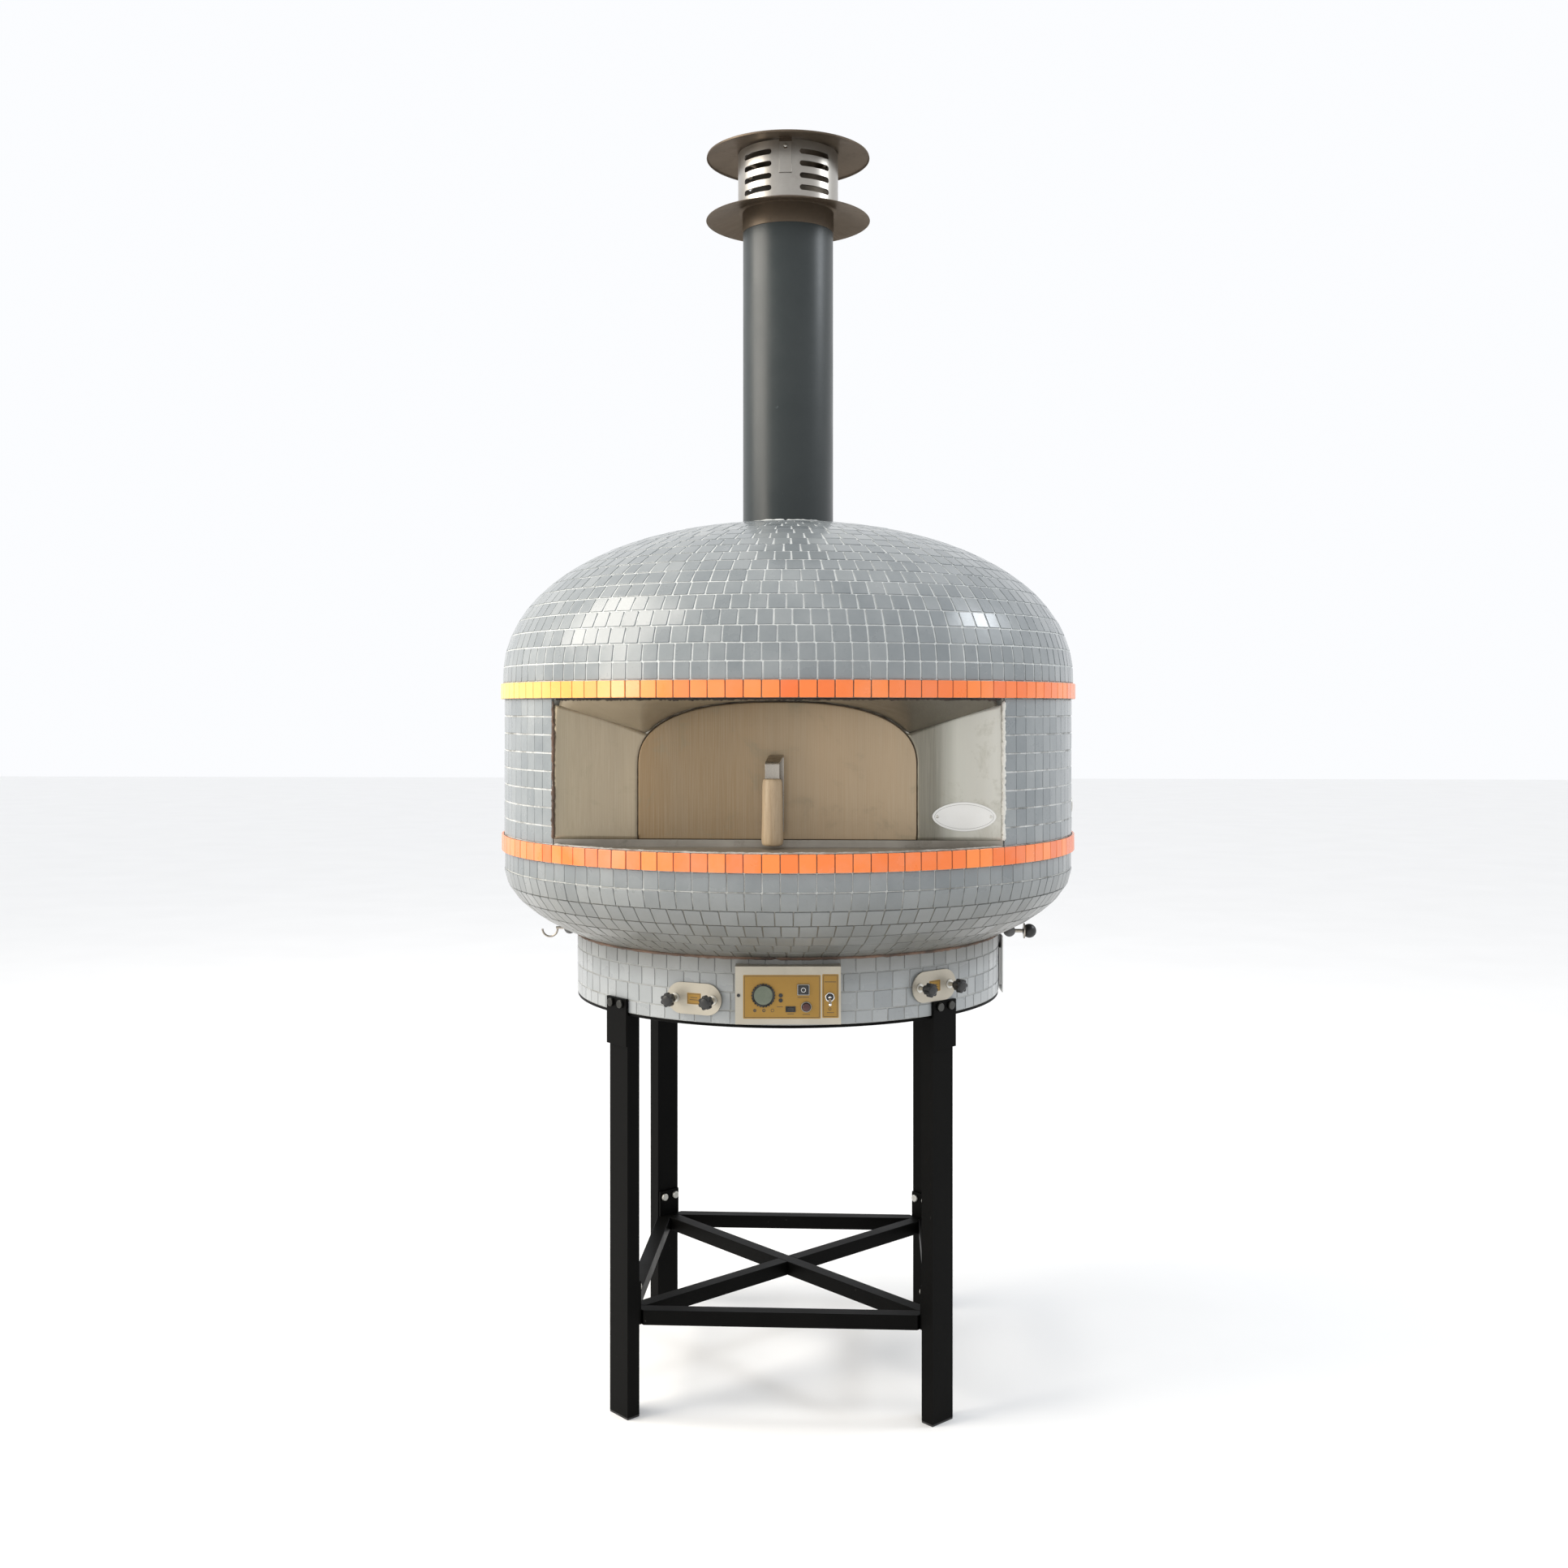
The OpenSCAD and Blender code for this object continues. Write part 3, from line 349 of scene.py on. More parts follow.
def tile_material(name, shades, dark_tone, dark_z, plain_z, gloss=0.16, painted_warm_light=False):
    """Glazed mosaic: a shade for each tile, cloudy glaze, fine grime specks, and a darkening
    between two heights, which on the drum is painted shade under the bowl. For the upper band the
    tiles turn yellow towards the left: painted warm light.
    """
    m = Mat(name)
    own = m.attribute("tile")
    base = m.ramp(own["Red"], *shades)
    if painted_warm_light:
        # Painted warm light: the tiles turn yellow towards the left, where the warm key light
        # falls.
        base = m.mix(m.fade("X", -0.12, -0.60), base, (0.95, 0.56, 0.12))
    cloud = m.noise(9.0, 5.0, 0.6)
    haze = 0.10 if painted_warm_light else 0.16
    base = m.stain(base, cloud, 0.4, 0.8, haze, (0.62, 0.63, 0.62))
    base = m.stain(base, m.noise(160.0, 3.0, 0.6), 0.62, 0.78, 0.22, dark_tone)
    patch = m.ramp(m.noise(5.0, 4.0, 0.6), (0.2, 0.55), (0.75, 1.0))
    # The darkening between two heights: on the drum it is painted shade under the bowl; on the
    # bowl it turns darker towards the bottom.
    darkening = m.math("MULTIPLY", m.fade("Z", plain_z, dark_z), patch, clamp=True)
    base = m.mix(darkening, base, dark_tone)
    rough = m.gain(own["Green"], 0.14, gloss)
    rough = m.gain(darkening, 0.35, rough)
    rough = m.gain(m.ramp(cloud, (0.4, 0.0), (0.8, 1.0)), 0.14, rough)
    ripple = m.bump(m.noise(45.0, 2.0, 0.5), 0.5 * MM, 0.5)
    pits = m.bump(m.noise(900.0, 2.0, 0.5), 0.06 * MM, 0.5, ripple)
    m.set(Base_Color=base, Roughness=rough, Normal=pits, Coat_Weight=0.25, Coat_Roughness=0.12)
    return m.mat


def grout_material(name, light, dark, low_point=0.35, high_point=0.62, darker_below=None):
    """Sandy joint filler, blotched light and dark; darker below a span of heights."""
    m = Mat(name)
    patch = m.noise(14.0, 6.0, 0.7)
    sand = m.noise(700.0, 4.0, 0.7)
    color = m.stain(light, patch, low_point, high_point, 1.0, dark)
    if darker_below:
        color = m.mix(m.fade("Z", darker_below[1], darker_below[0]), color, dark)
    color = m.stain(color, sand, 0.35, 0.75, 0.35, dark)
    lumps = m.bump(m.noise(120.0, 4.0, 0.6), 0.8 * MM, 0.7)
    m.set(Base_Color=color, Roughness=m.ramp(patch, (0.3, 0.82), (0.7, 0.95)),
          Normal=m.bump(sand, 0.25 * MM, 0.8, lumps))
    return m.mat


def steel_material(name, color, tint, rough=0.3, brush="z", wave=1.0, stain=0.5, metal=0.9):
    """Brushed sheet: fine lines along one way, soft stains and a slightly wavy face."""
    m = Mat(name)
    along = {"x": (6, 900, 900), "z": (900, 900, 6)}[brush]
    lines = m.noise(1.0, 3.0, 0.7, m.stretch(*along))
    clouds = m.noise(4.5, 4.0, 0.55, distort=0.4)
    spots = m.noise(26.0, 6.0, 0.7)
    base = m.stain(color, clouds, 0.3, 0.72, 1.0, tint)
    base = m.stain(base, lines, 0.35, 0.7, 0.22, tint)
    base = m.stain(base, spots, 0.56, 0.78, stain * 0.6, tuple(0.45 * c for c in tint))
    r = m.gain(lines, 0.16, rough - 0.08)
    r = m.gain(m.ramp(spots, (0.5, 0.0), (0.8, 1.0)), 0.18 * stain, r)
    sheet = m.bump(m.noise(5.0, 2.0, 0.45, distort=0.3), 9.0 * MM * wave, 0.5)
    m.set(Base_Color=base, Metallic=metal, Roughness=r,
          Normal=m.bump(lines, 0.05 * MM, 0.6, sheet))
    return m.mat


def sheet_with_painted_light(name, shades, x0, x1):
    """A dull stainless sheet with painted light: its tone changes from left to right as the light
    falls, in soft upright bands of painted reflection.
    """
    m = Mat(name)
    # Soft upright bands: painted reflections in a slightly wavy sheet.
    bands = m.noise(1.0, 3.0, 0.5, m.stretch(11, 11, 0.9), 0.3)
    # Painted light: the tone runs from the left stop to the right stop as light and reflections
    # fall on the sheet.
    painted_light_drift = m.math("ADD", m.fade("X", x0, x1),
                   m.math("MULTIPLY", m.math("SUBTRACT", bands, 0.5), 0.16), clamp=True)
    base = m.ramp(painted_light_drift, *shades)
    base = m.stain(base, bands, 0.35, 0.7, 0.30, (0.20, 0.17, 0.12))
    smear = m.noise(13.0, 6.0, 0.72, distort=0.6)
    base = m.stain(base, smear, 0.56, 0.74, 0.45, (0.20, 0.19, 0.13))
    lines = m.noise(1.0, 3.0, 0.7, m.stretch(900, 900, 6))
    base = m.stain(base, lines, 0.4, 0.75, 0.16, (0.62, 0.57, 0.47))
    r = m.gain(lines, 0.14, 0.30)
    r = m.gain(m.ramp(smear, (0.45, 0.0), (0.8, 1.0)), 0.2, r)
    sheet = m.bump(m.noise(4.0, 2.0, 0.45, m.stretch(2.2, 2.2, 0.5), 0.3), 8.0 * MM, 0.5)
    m.set(Base_Color=base, Metallic=0.55, Roughness=r,
          Normal=m.bump(lines, 0.05 * MM, 0.6, sheet))
    return m.mat


def paint_material(name, color, worn, rough=0.38, chips=0.5, gleam=0.5):
    """Satin paint with orange peel, dust and a few chips and rubs."""
    m = Mat(name)
    dust = m.noise(7.0, 6.0, 0.65)
    chip = m.noise(85.0, 6.0, 0.75)
    base = m.stain(color, dust, 0.4, 0.8, 0.35, worn)
    base = m.stain(base, chip, 0.69, 0.735, chips, tuple(min(0.6, 12 * c) for c in worn))
    r = m.gain(dust, 0.28, rough - 0.14)
    peel = m.bump(m.noise(420.0, 2.0, 0.5), 0.12 * MM, 0.6)
    m.set(Base_Color=base, Roughness=r, Specular_IOR_Level=gleam,
          Normal=m.bump(dust, 1.2 * MM, 0.3, peel))
    return m.mat


def plastic_material(name, color, worn, rough=0.35, grain=0.1):
    m = Mat(name)
    rub = m.noise(40.0, 5.0, 0.65)
    base = m.stain(color, rub, 0.45, 0.8, 0.5, worn)
    r = m.gain(rub, 0.2, rough - 0.1)
    m.set(Base_Color=base, Roughness=r,
          Normal=m.bump(m.noise(1500.0, 2.0, 0.5), grain * MM, 0.6))
    return m.mat


def stone_material(name, color, dark, scale=60.0, depth=1.0):
    m = Mat(name)
    blotch = m.noise(6.0, 6.0, 0.6)
    grain = m.noise(scale * 6, 5.0, 0.7)
    pore = m.cells(scale * 2)
    base = m.stain(color, blotch, 0.3, 0.75, 1.0, dark)
    base = m.stain(base, grain, 0.4, 0.75, 0.5, dark)
    rough = m.bump(m.ramp(pore, (0.05, 0.0), (0.25, 1.0)), 0.4 * MM * depth, 0.5)
    m.set(Base_Color=base, Roughness=m.ramp(blotch, (0.3, 0.8), (0.7, 0.95)),
          Normal=m.bump(grain, 0.5 * MM * depth, 0.7, rough))
    return m.mat


def wood_material():
    """Pale beech: long grain, short ray flecks and a handled sheen."""
    m = Mat("wood_beech")
    grain = m.noise(1.0, 5.0, 0.6, m.stretch(170, 170, 9), 0.6)
    rays = m.noise(1.0, 2.0, 0.5, m.stretch(900, 900, 130))
    tone = m.noise(18.0, 3.0, 0.5, m.stretch(1, 1, 0.3))
    base = m.ramp(grain, (0.3, (0.46, 0.35, 0.22)), (0.55, (0.39, 0.285, 0.175)),
                  (0.75, (0.31, 0.215, 0.12)))
    base = m.stain(base, tone, 0.35, 0.75, 0.5, (0.52, 0.41, 0.28))
    base = m.stain(base, rays, 0.6, 0.72, 0.35, (0.25, 0.165, 0.09))
    m.set(Base_Color=base, Roughness=m.ramp(grain, (0.3, 0.42), (0.8, 0.62)),
          Normal=m.bump(grain, 0.25 * MM, 0.6))
    return m.mat


# Grey tiles for the dome, wall and bowl; they turn darker towards the bottom of the bowl.
TILE_GREY = tile_material(
    "tile_grey", ((0.0, (0.178, 0.198, 0.208)), (0.4, (0.196, 0.216, 0.225)),
                  (0.8, (0.214, 0.234, 0.242)), (1.0, (0.245, 0.264, 0.270))),
    (0.090, 0.079, 0.055), 0.955, 1.13)
# Drum tiles: darker towards the drum's top, painted shade under the bowl.
TILE_DRUM = tile_material(
    "tile_drum", ((0.0, (0.250, 0.266, 0.272)), (0.5, (0.285, 0.301, 0.306)),
                  (1.0, (0.325, 0.340, 0.343))),
    (0.085, 0.076, 0.054), 0.968, 0.895)
ORANGES = ((0.0, (0.80, 0.155, 0.026)), (0.5, (0.85, 0.190, 0.033)), (1.0, (0.90, 0.240, 0.045)))
TILE_ORANGE = tile_material("tile_orange", ORANGES, (0.55, 0.20, 0.07), 0.2, 0.4, 0.2)
# The upper band's tiles, with painted warm light that turns them yellow towards the left.
TILE_ORANGE_WARM_LIT = tile_material("tile_orange_warm_lit", ORANGES, (0.55, 0.20, 0.07), 0.2, 0.4, 0.2, painted_warm_light=True)
GROUT_LIGHT = grout_material("grout_light", (0.66, 0.68, 0.67), (0.34, 0.35, 0.34), 0.5, 0.85)
GROUT_MIXED = grout_material("grout_mixed", (0.60, 0.61, 0.60), (0.17, 0.17, 0.16), 0.45, 0.66)
# The bowl's joints turn darker towards the bottom of the bowl.
GROUT_BOWL = grout_material("grout_bowl", (0.56, 0.57, 0.55), (0.135, 0.122, 0.095), 0.5, 0.75,
                            (1.045, 1.085))
GROUT_DRUM = grout_material("grout_drum", (0.40, 0.41, 0.40), (0.19, 0.185, 0.165), 0.5, 0.75)
GROUT_DARK = grout_material("grout_dark", (0.20, 0.12, 0.08), (0.07, 0.05, 0.04))
MORTAR_GREY = grout_material("mortar_grey", (0.46, 0.44, 0.40), (0.15, 0.135, 0.115), 0.4, 0.66)
MORTAR_WHITE = grout_material("mortar_white", (0.70, 0.69, 0.64), (0.34, 0.32, 0.28), 0.5, 0.8)
EDGE_BROWN = grout_material("edge_brown", (0.10, 0.072, 0.045), (0.05, 0.036, 0.024))
MORTAR_BLACK = grout_material("mortar_black", (0.045, 0.03, 0.022), (0.015, 0.012, 0.010))
# The door's sheet: darker at the left and lighter at the right, painted light and reflection.
MOUTH_STEEL = sheet_with_painted_light(
    "mouth_steel", ((0.0, (0.250, 0.165, 0.082)), (0.30, (0.270, 0.186, 0.100)),
                    (0.62, (0.370, 0.270, 0.165)), (1.0, (0.415, 0.312, 0.200))), -0.28, 0.28)
# The cheeks: their tone changes across in painted light, with a bright strip at the right cheek's
# outer edge as a painted highlight.
CHEEK_STEEL = sheet_with_painted_light(
    "cheek_steel", ((0.0, (0.290, 0.245, 0.170)), (0.13, (0.335, 0.275, 0.190)),
                    (0.5, (0.240, 0.200, 0.140)), (0.84, (0.185, 0.178, 0.145)),
                    (0.91, (0.560, 0.560, 0.500)), (1.0, (0.660, 0.655, 0.600))), -0.44, 0.44)
# The hood: bright at the left where the light falls, dark at the right in painted shade.
HOOD_STEEL = sheet_with_painted_light(
    "hood_steel", ((0.0, (0.400, 0.335, 0.240)), (0.3, (0.270, 0.225, 0.155)),
                   (0.7, (0.115, 0.100, 0.075)), (1.0, (0.090, 0.082, 0.065))), -0.43, 0.43)
SILL_STEEL = steel_material("sill_steel", (0.46, 0.43, 0.38), (0.22, 0.20, 0.17), 0.42, "x",
                            0.5, 1.0)
BRACKET_STEEL = steel_material("bracket_steel", (0.50, 0.46, 0.40), (0.20, 0.175, 0.15), 0.28,
                               "z", 0.2, 0.5)
PANEL_STEEL = steel_material("panel_steel", (0.50, 0.46, 0.385), (0.37, 0.34, 0.275), 0.4, "x",
                             0.3, 0.3, 0.6)
COWL_STEEL = steel_material("cowl_steel", (0.46, 0.44, 0.41), (0.27, 0.25, 0.22), 0.32, "x",
                            0.12, 0.35)
# The cowl's cap and skirt: steel painted dark as painted shade and painted dark reflection, with a
# brownish specular tint.
COWL_PAINTED_DARK = steel_material("cowl_painted_dark", (0.135, 0.105, 0.078), (0.060, 0.046, 0.032), 0.34, "x",
                           0.6, 0.6, 0.55)
COWL_PAINTED_DARK.node_tree.nodes["Principled BSDF"].inputs["Specular Tint"].default_value = (
    0.50, 0.42, 0.34, 1.0)
PLAIN_STEEL = steel_material("plain_steel", (0.42, 0.41, 0.39), (0.24, 0.23, 0.21), 0.45, "x",
                             0.3, 0.8)
ZINC = steel_material("zinc", (0.74, 0.73, 0.69), (0.50, 0.49, 0.44), 0.35, "x", 0.1, 0.6)
BOLT_DARK = steel_material("bolt_dark", (0.10, 0.10, 0.095), (0.035, 0.034, 0.03), 0.3, "x",
                           0.1, 0.6)
CHROME = steel_material("chrome", (0.85, 0.85, 0.85), (0.7, 0.7, 0.7), 0.14, "x", 0.05, 0.2)
GOLD = steel_material("gold_label", (0.34, 0.200, 0.038), (0.27, 0.150, 0.028), 0.45, "x",
                      0.1, 0.3, 0.35)
STAND_PAINT = paint_material("stand_paint", (0.0022, 0.0022, 0.0020), (0.008, 0.0077, 0.0068),
                             0.46, 0.9, 0.05)
FLUE_PAINT = paint_material("flue_paint", (0.019, 0.025, 0.0255), (0.040, 0.047, 0.047), 0.36,
                            0.3, 0.4)
MOTOR_PAINT = paint_material("motor_paint", (0.07, 0.09, 0.12), (0.16, 0.17, 0.18), 0.4)
PLATE_WHITE = paint_material("plate_white", (0.74, 0.74, 0.72), (0.55, 0.54, 0.50), 0.35, 0.3)
PLASTIC_BLACK = plastic_material("plastic_black", (0.012, 0.012, 0.012), (0.05, 0.05, 0.048))
PLASTIC_MATTE = plastic_material("plastic_matte", (0.016, 0.016, 0.016), (0.05, 0.05, 0.05),
                                 0.6, 0.3)
DISPLAY_LENS = plastic_material("display_lens", (0.105, 0.125, 0.090), (0.17, 0.19, 0.14), 0.16,
                                0.02)
LENS_RED = plastic_material("lens_red", (0.055, 0.014, 0.013), (0.11, 0.04, 0.035), 0.18, 0.03)
PRINT_DARK = plastic_material("print_dark", (0.06, 0.04, 0.02), (0.16, 0.11, 0.05), 0.5, 0.02)
RENDER = stone_material("render", (0.58, 0.57, 0.53), (0.36, 0.35, 0.31))
REFRACTORY = stone_material("refractory", (0.55, 0.42, 0.30), (0.24, 0.17, 0.12))
INSULATION = stone_material("insulation", (0.74, 0.71, 0.63), (0.52, 0.49, 0.42), 30.0, 2.0)
IRON = stone_material("cast_iron", (0.16, 0.16, 0.16), (0.08, 0.08, 0.08), 80.0, 0.3)
WOOD = wood_material()


# --- Mosaic ---

class Profile:
    """A curve of (r, z) points that is walked by its length; normals point outward."""

    def __init__(self, points):
        self.points = points
        self.at = [0.0]
        for (r0, z0), (r1, z1) in zip(points, points[1:]):
            self.at.append(self.at[-1] + math.hypot(r1 - r0, z1 - z0))
        self.length = self.at[-1]

    def place(self, s):
        s = min(max(s, 0.0), self.length)
        i = 1
        while i < len(self.at) - 1 and self.at[i] < s:
            i += 1
        (r0, z0), (r1, z1) = self.points[i - 1], self.points[i]
        f = (s - self.at[i - 1]) / (self.at[i] - self.at[i - 1])
        step = math.hypot(r1 - r0, z1 - z0)
        return r0 + (r1 - r0) * f, z0 + (z1 - z0) * f, (r1 - r0) / step, (z1 - z0) / step

    def inset(self, depth):
        """The same curve, moved under the surface."""
        out = []
        for s in self.at:
            r, z, tr, tz = self.place(s)
            out.append((r - abs(tz) * depth, z - (-tr if tz > 0 else tr) * depth))
        return out


def dome_curve(steps=90):
    end = math.acos((FLUE_R / DOME_R) ** (DOME_N / 2))
    points = [(DOME_R, DOME_FOOT)]
    for i in range(steps + 1):
        t = end * (i / steps) ** 1.15
        points.append((DOME_R * math.cos(t) ** (2 / DOME_N),
                       DOME_Z + DOME_H * math.sin(t) ** (2 / DOME_N)))
    return Profile(points)


def bowl_curve(steps=50):
    end = math.acos(DRUM_R / BOWL_R)
    points = [(BOWL_R, LOW_BAND_Z)]
    points += [(BOWL_R * math.cos(end * i / steps), BOWL_Z - BOWL_H * math.sin(end * i / steps))
               for i in range(steps + 1)]
    return Profile(points)


def upright(r, z0, z1):
    return Profile([(r, z0), (r, z1)])


class Mosaic:
    """Gathers separate flat tiles with rounded corners and softened rims into one mesh."""

    RINGS = ((0.0, TILE_BODY), (0.0, 1.25 * MM), (0.35 * MM, 0.5 * MM), (1.1 * MM, 0.12 * MM))
    CORNER = 1.3 * MM

    def __init__(self, name, seed, upright, level):
        self.name = name
        self.upright, self.level = upright, level
        self.rng = random.Random(seed)
        self.verts, self.faces, self.values = [], [], []

    def tile(self, centre, across, up, out, w, h):
        rng = self.rng
        spin = rng.gauss(0, 0.006)
        lean = Vector((rng.gauss(0, 0.006), rng.gauss(0, 0.006)))
        sink = rng.uniform(0.0, 0.35) * MM
        value = (rng.random(), rng.random(), rng.random(), 1.0)
        u = (across + up * spin).normalized()
        v = (up - across * spin).normalized()
        start = len(self.verts)
        for inset, depth in self.RINGS:
            hw, hh = w / 2 - inset, h / 2 - inset
            c = self.CORNER
            outline = ((hw - c, -hh), (hw, -hh + c), (hw, hh - c), (hw - c, hh),
                       (-hw + c, hh), (-hw, hh - c), (-hw, -hh + c), (-hw + c, -hh))
            for x, y in outline:
                lift = -(depth + sink) + lean[0] * x + lean[1] * y
                self.verts.append(centre + u * x + v * y + out * lift)
                self.values.append(value)
        walls_and_caps = loft(len(self.RINGS), 8, first=start)
        self.faces += walls_and_caps[:-2] + walls_and_caps[-1:]

    def row(self, profile, s0, s1, count, phase=0.0, start=0.0, sweep=2 * math.pi, wobble=0.0):
        """One row of tiles from s0 to s1 along the profile, over a sweep of angle."""
        r, z, tr, tz = profile.place((s0 + s1) / 2)
        facing = 1.0 if tz >= 0 else -1.0
        edges = [start + sweep * (i + phase + self.rng.uniform(-wobble, wobble)) / count
                 for i in range(count)]
        edges.append(edges[0] + sweep if sweep >= 2 * math.pi else start + sweep)
        if sweep < 2 * math.pi:
            edges[0] = start
        for a0, a1 in zip(edges, edges[1:]):
            a = (a0 + a1) / 2
            w = r * (a1 - a0) - self.upright * self.rng.uniform(0.8, 1.25)
            h = (s1 - s0) - self.level * self.rng.uniform(0.85, 1.15)
            across = Vector((math.cos(a), math.sin(a), 0.0))
            up = Vector((math.sin(a) * tr, -math.cos(a) * tr, tz)) * facing
            out = across.cross(up)
            self.tile(polar(a, r, z), across, up, out, w, h)

    def finish(self, material, node):
        ob = mesh_object(self.name, self.verts, self.faces)
        attribute = ob.data.color_attributes.new("tile", "FLOAT_COLOR", "POINT")
        attribute.data.foreach_set("color", [c for v in self.values for c in v])
        clean_normals(ob.data)
        harden(ob)
        return dress(ob, material, node)


def revolve(name, points, material, node, start=0.0, sweep=2 * math.pi, steps=232):
    """A surface of revolution through (r, z) points, closed where the sweep is full."""
    full = sweep >= 2 * math.pi - 1e-6
    columns = steps if full else steps + 1
    verts, faces = [], []
    for i in range(columns):
        a = start + sweep * i / steps
        verts += [polar(a, r, z) for r, z in points]
    n = len(points)
    for i in range(steps):
        j = (i + 1) % columns
        for k in range(n - 1):
            faces.append((i * n + k, j * n + k, j * n + k + 1, i * n + k + 1))
    ob = mesh_object(name, verts, faces)
    clean_normals(ob.data)
    smooth(ob.data)
    return dress(ob, material, node)


def closed_skin(profile):
    """The closed section of the grout bed under a run of tiles."""
    outer = profile.inset(GROUT_DEPTH)
    inner = profile.inset(TILE_BODY)
    return outer + inner[::-1] + outer[:1]


def rows_along(profile, pitch):
    """The starts and ends of equal rows, as near to a pitch as they come."""
    count = max(1, round(profile.length / pitch))
    return [(profile.length * i / count, profile.length * (i + 1) / count)
            for i in range(count)]


def lay_round(part, profile, seed, upright_joint, level_joint, pitch, wobble, grout):
    """Rows round the whole oven: two in step with the bands, then fewer tiles as it narrows."""
    mosaic = Mosaic("mosaic_" + part, seed, upright_joint * MM, level_joint * MM)
    for i, (s0, s1) in enumerate(rows_along(profile, pitch * MM)):
        r = profile.place((s0 + s1) / 2)[0]
        count = AROUND if i < 2 else max(9, round(2 * math.pi * r / (TILE_W + JOINT)))
        phase = 0.5 if i < 2 else mosaic.rng.random()
        mosaic.row(profile, s0, s1, count, phase, wobble=wobble)
    mosaic.finish(TILE_GREY, part + "_tiles")
    revolve("grout_" + part, closed_skin(profile), grout, part + "_tiles")


def lay_band(name, r, z0, z1, node, seed):
    mosaic = Mosaic("mosaic_" + name, seed, 1.7 * MM, 1.0 * MM)
    mosaic.row(upright(r, z0, z1), 0, z1 - z0, AROUND, 0.5, wobble=0.02)
    mosaic.finish(TILE_ORANGE_WARM_LIT if name == "upper" else TILE_ORANGE, node)
    edge = 1.2 * MM
    revolve("grout_" + name, [(r - GROUT_DEPTH, z0 + edge), (r - GROUT_DEPTH, z1 - edge),
                              (r - 6 * MM, z1 - 0.2 * MM), (r - 6 * MM, z0 + 0.2 * MM),
                              (r - GROUT_DEPTH, z0 + edge)], GROUT_DARK, node)


def lay_wall():
    profile = upright(WALL_R, WALL_Z, UP_BAND_Z)
    start = MOUTH_HALF + 0.0015      # half a joint away from the mouth's edge
    sweep = 2 * (math.pi - start)
    count = round(sweep * WALL_R / (TILE_W + JOINT))
    mosaic = Mosaic("mosaic_wall", 23, 0.7 * MM, 2.9 * MM)
    for s0, s1 in rows_along(profile, 36 * MM):
        mosaic.row(profile, s0, s1, count, start=start, sweep=sweep, wobble=0.03)
    mosaic.finish(TILE_GREY, "wall_tiles")
    revolve("grout_wall", closed_skin(profile), GROUT_MIXED, "wall_tiles", MOUTH_HALF,
            2 * (math.pi - MOUTH_HALF))


def lay_drum():
    profile = upright(DRUM_R, DRUM_LOW, DRUM_TOP)
    mosaic = Mosaic("mosaic_drum", 41, 2.0 * MM, 2.0 * MM)
    edges = [0.0, 0.026, 0.0625, 0.099, profile.length]
    for s0, s1 in zip(edges, edges[1:]):
        mosaic.row(profile, s0, s1, 82, mosaic.rng.random(), wobble=0.09)
    mosaic.finish(TILE_DRUM, "drum_tiles")
    revolve("grout_drum", closed_skin(profile), GROUT_DRUM, "drum_tiles")


# --- Beads of mortar ---

def bead(name, path, radius, material, seed, ragged=0.4, slot="render", sides=10):
    """An uneven bead of mortar along a path of points."""
    rng = random.Random(seed)
    shift = Vector((rng.random(), rng.random(), rng.random())) * 50
    verts = []
    for i, p in enumerate(path):
        ahead = path[min(i + 1, len(path) - 1)] - path[max(i - 1, 0)]
        along = ahead.normalized()
        side = along.orthogonal().normalized() if abs(along.z) > 0.9 else \
            along.cross(Vector((0, 0, 1))).normalized()
        up = side.cross(along).normalized()
        taper = 0.25 if i in (0, len(path) - 1) else 1.0
        for k in range(sides):
            t = 2 * math.pi * k / sides
            way = side * math.cos(t) + up * math.sin(t)
            r = radius * taper * (1 + ragged * noise.noise((p + way * radius) * 220 + shift)
                                  + 0.6 * ragged * noise.noise(p * 70 + shift))
            verts.append(p + way * max(r, 0.2 * radius))
    ob = mesh_object(name, verts, loft(len(path), sides))
    smooth(ob.data)
    return dress(ob, material, slot=slot)


def arc_path(r, z, a0, a1, steps):
    return [polar(a0 + (a1 - a0) * i / steps, r, z) for i in range(steps + 1)]


def line_path(p, q, steps):
    return [Vector(p).lerp(Vector(q), i / steps) for i in range(steps + 1)]


def lay_beads():
    reach = MOUTH_HALF - 0.01
    bead("bead_band", arc_path(WALL_R - 5 * MM, UP_BAND_Z - 1.5 * MM, -reach, reach, 260),
         3.0 * MM, MORTAR_BLACK, 3, 0.9)
    bead("bead_sill", arc_path(WALL_R - 2 * MM, WALL_Z + 0.3 * MM, -reach, reach, 260),
         2.6 * MM, MORTAR_GREY, 4, 0.6)
    cheek_x = high("cheek_plates", 0)
    fillets = ((GROUT_DARK, 2.6, 5), (MORTAR_WHITE, 3.6, 6))
    for (side, word), (material, size, seed) in zip(SIDES, fillets):
        x = side * (cheek_x + 1.5 * MM)
        bead("bead_cheek_" + word,
             line_path((x, -FACE_Y, SILL_Z), (x, -FACE_Y, UP_BAND_Z - 6 * MM), 90),
             size * MM, material, seed, 0.8)
    top = dome_curve().points[-1][1]
    ring = arc_path(FLUE_R + 2 * MM, top - 1 * MM, 0, 2 * math.pi, 120)
    bead("bead_flue", ring, 4 * MM, GROUT_LIGHT, 8, 0.35)
    # A dark bead round the drum's top, under the bowl: grime in the joint and partly painted shade
    # of the gap.
    bead("bead_drum", arc_path(DRUM_R + 0.5 * MM, DRUM_TOP - 1 * MM, 0, 2 * math.pi, 300),
         3.2 * MM, GROUT_DARK, 9, 0.5)


# --- Plates and turned pieces ---

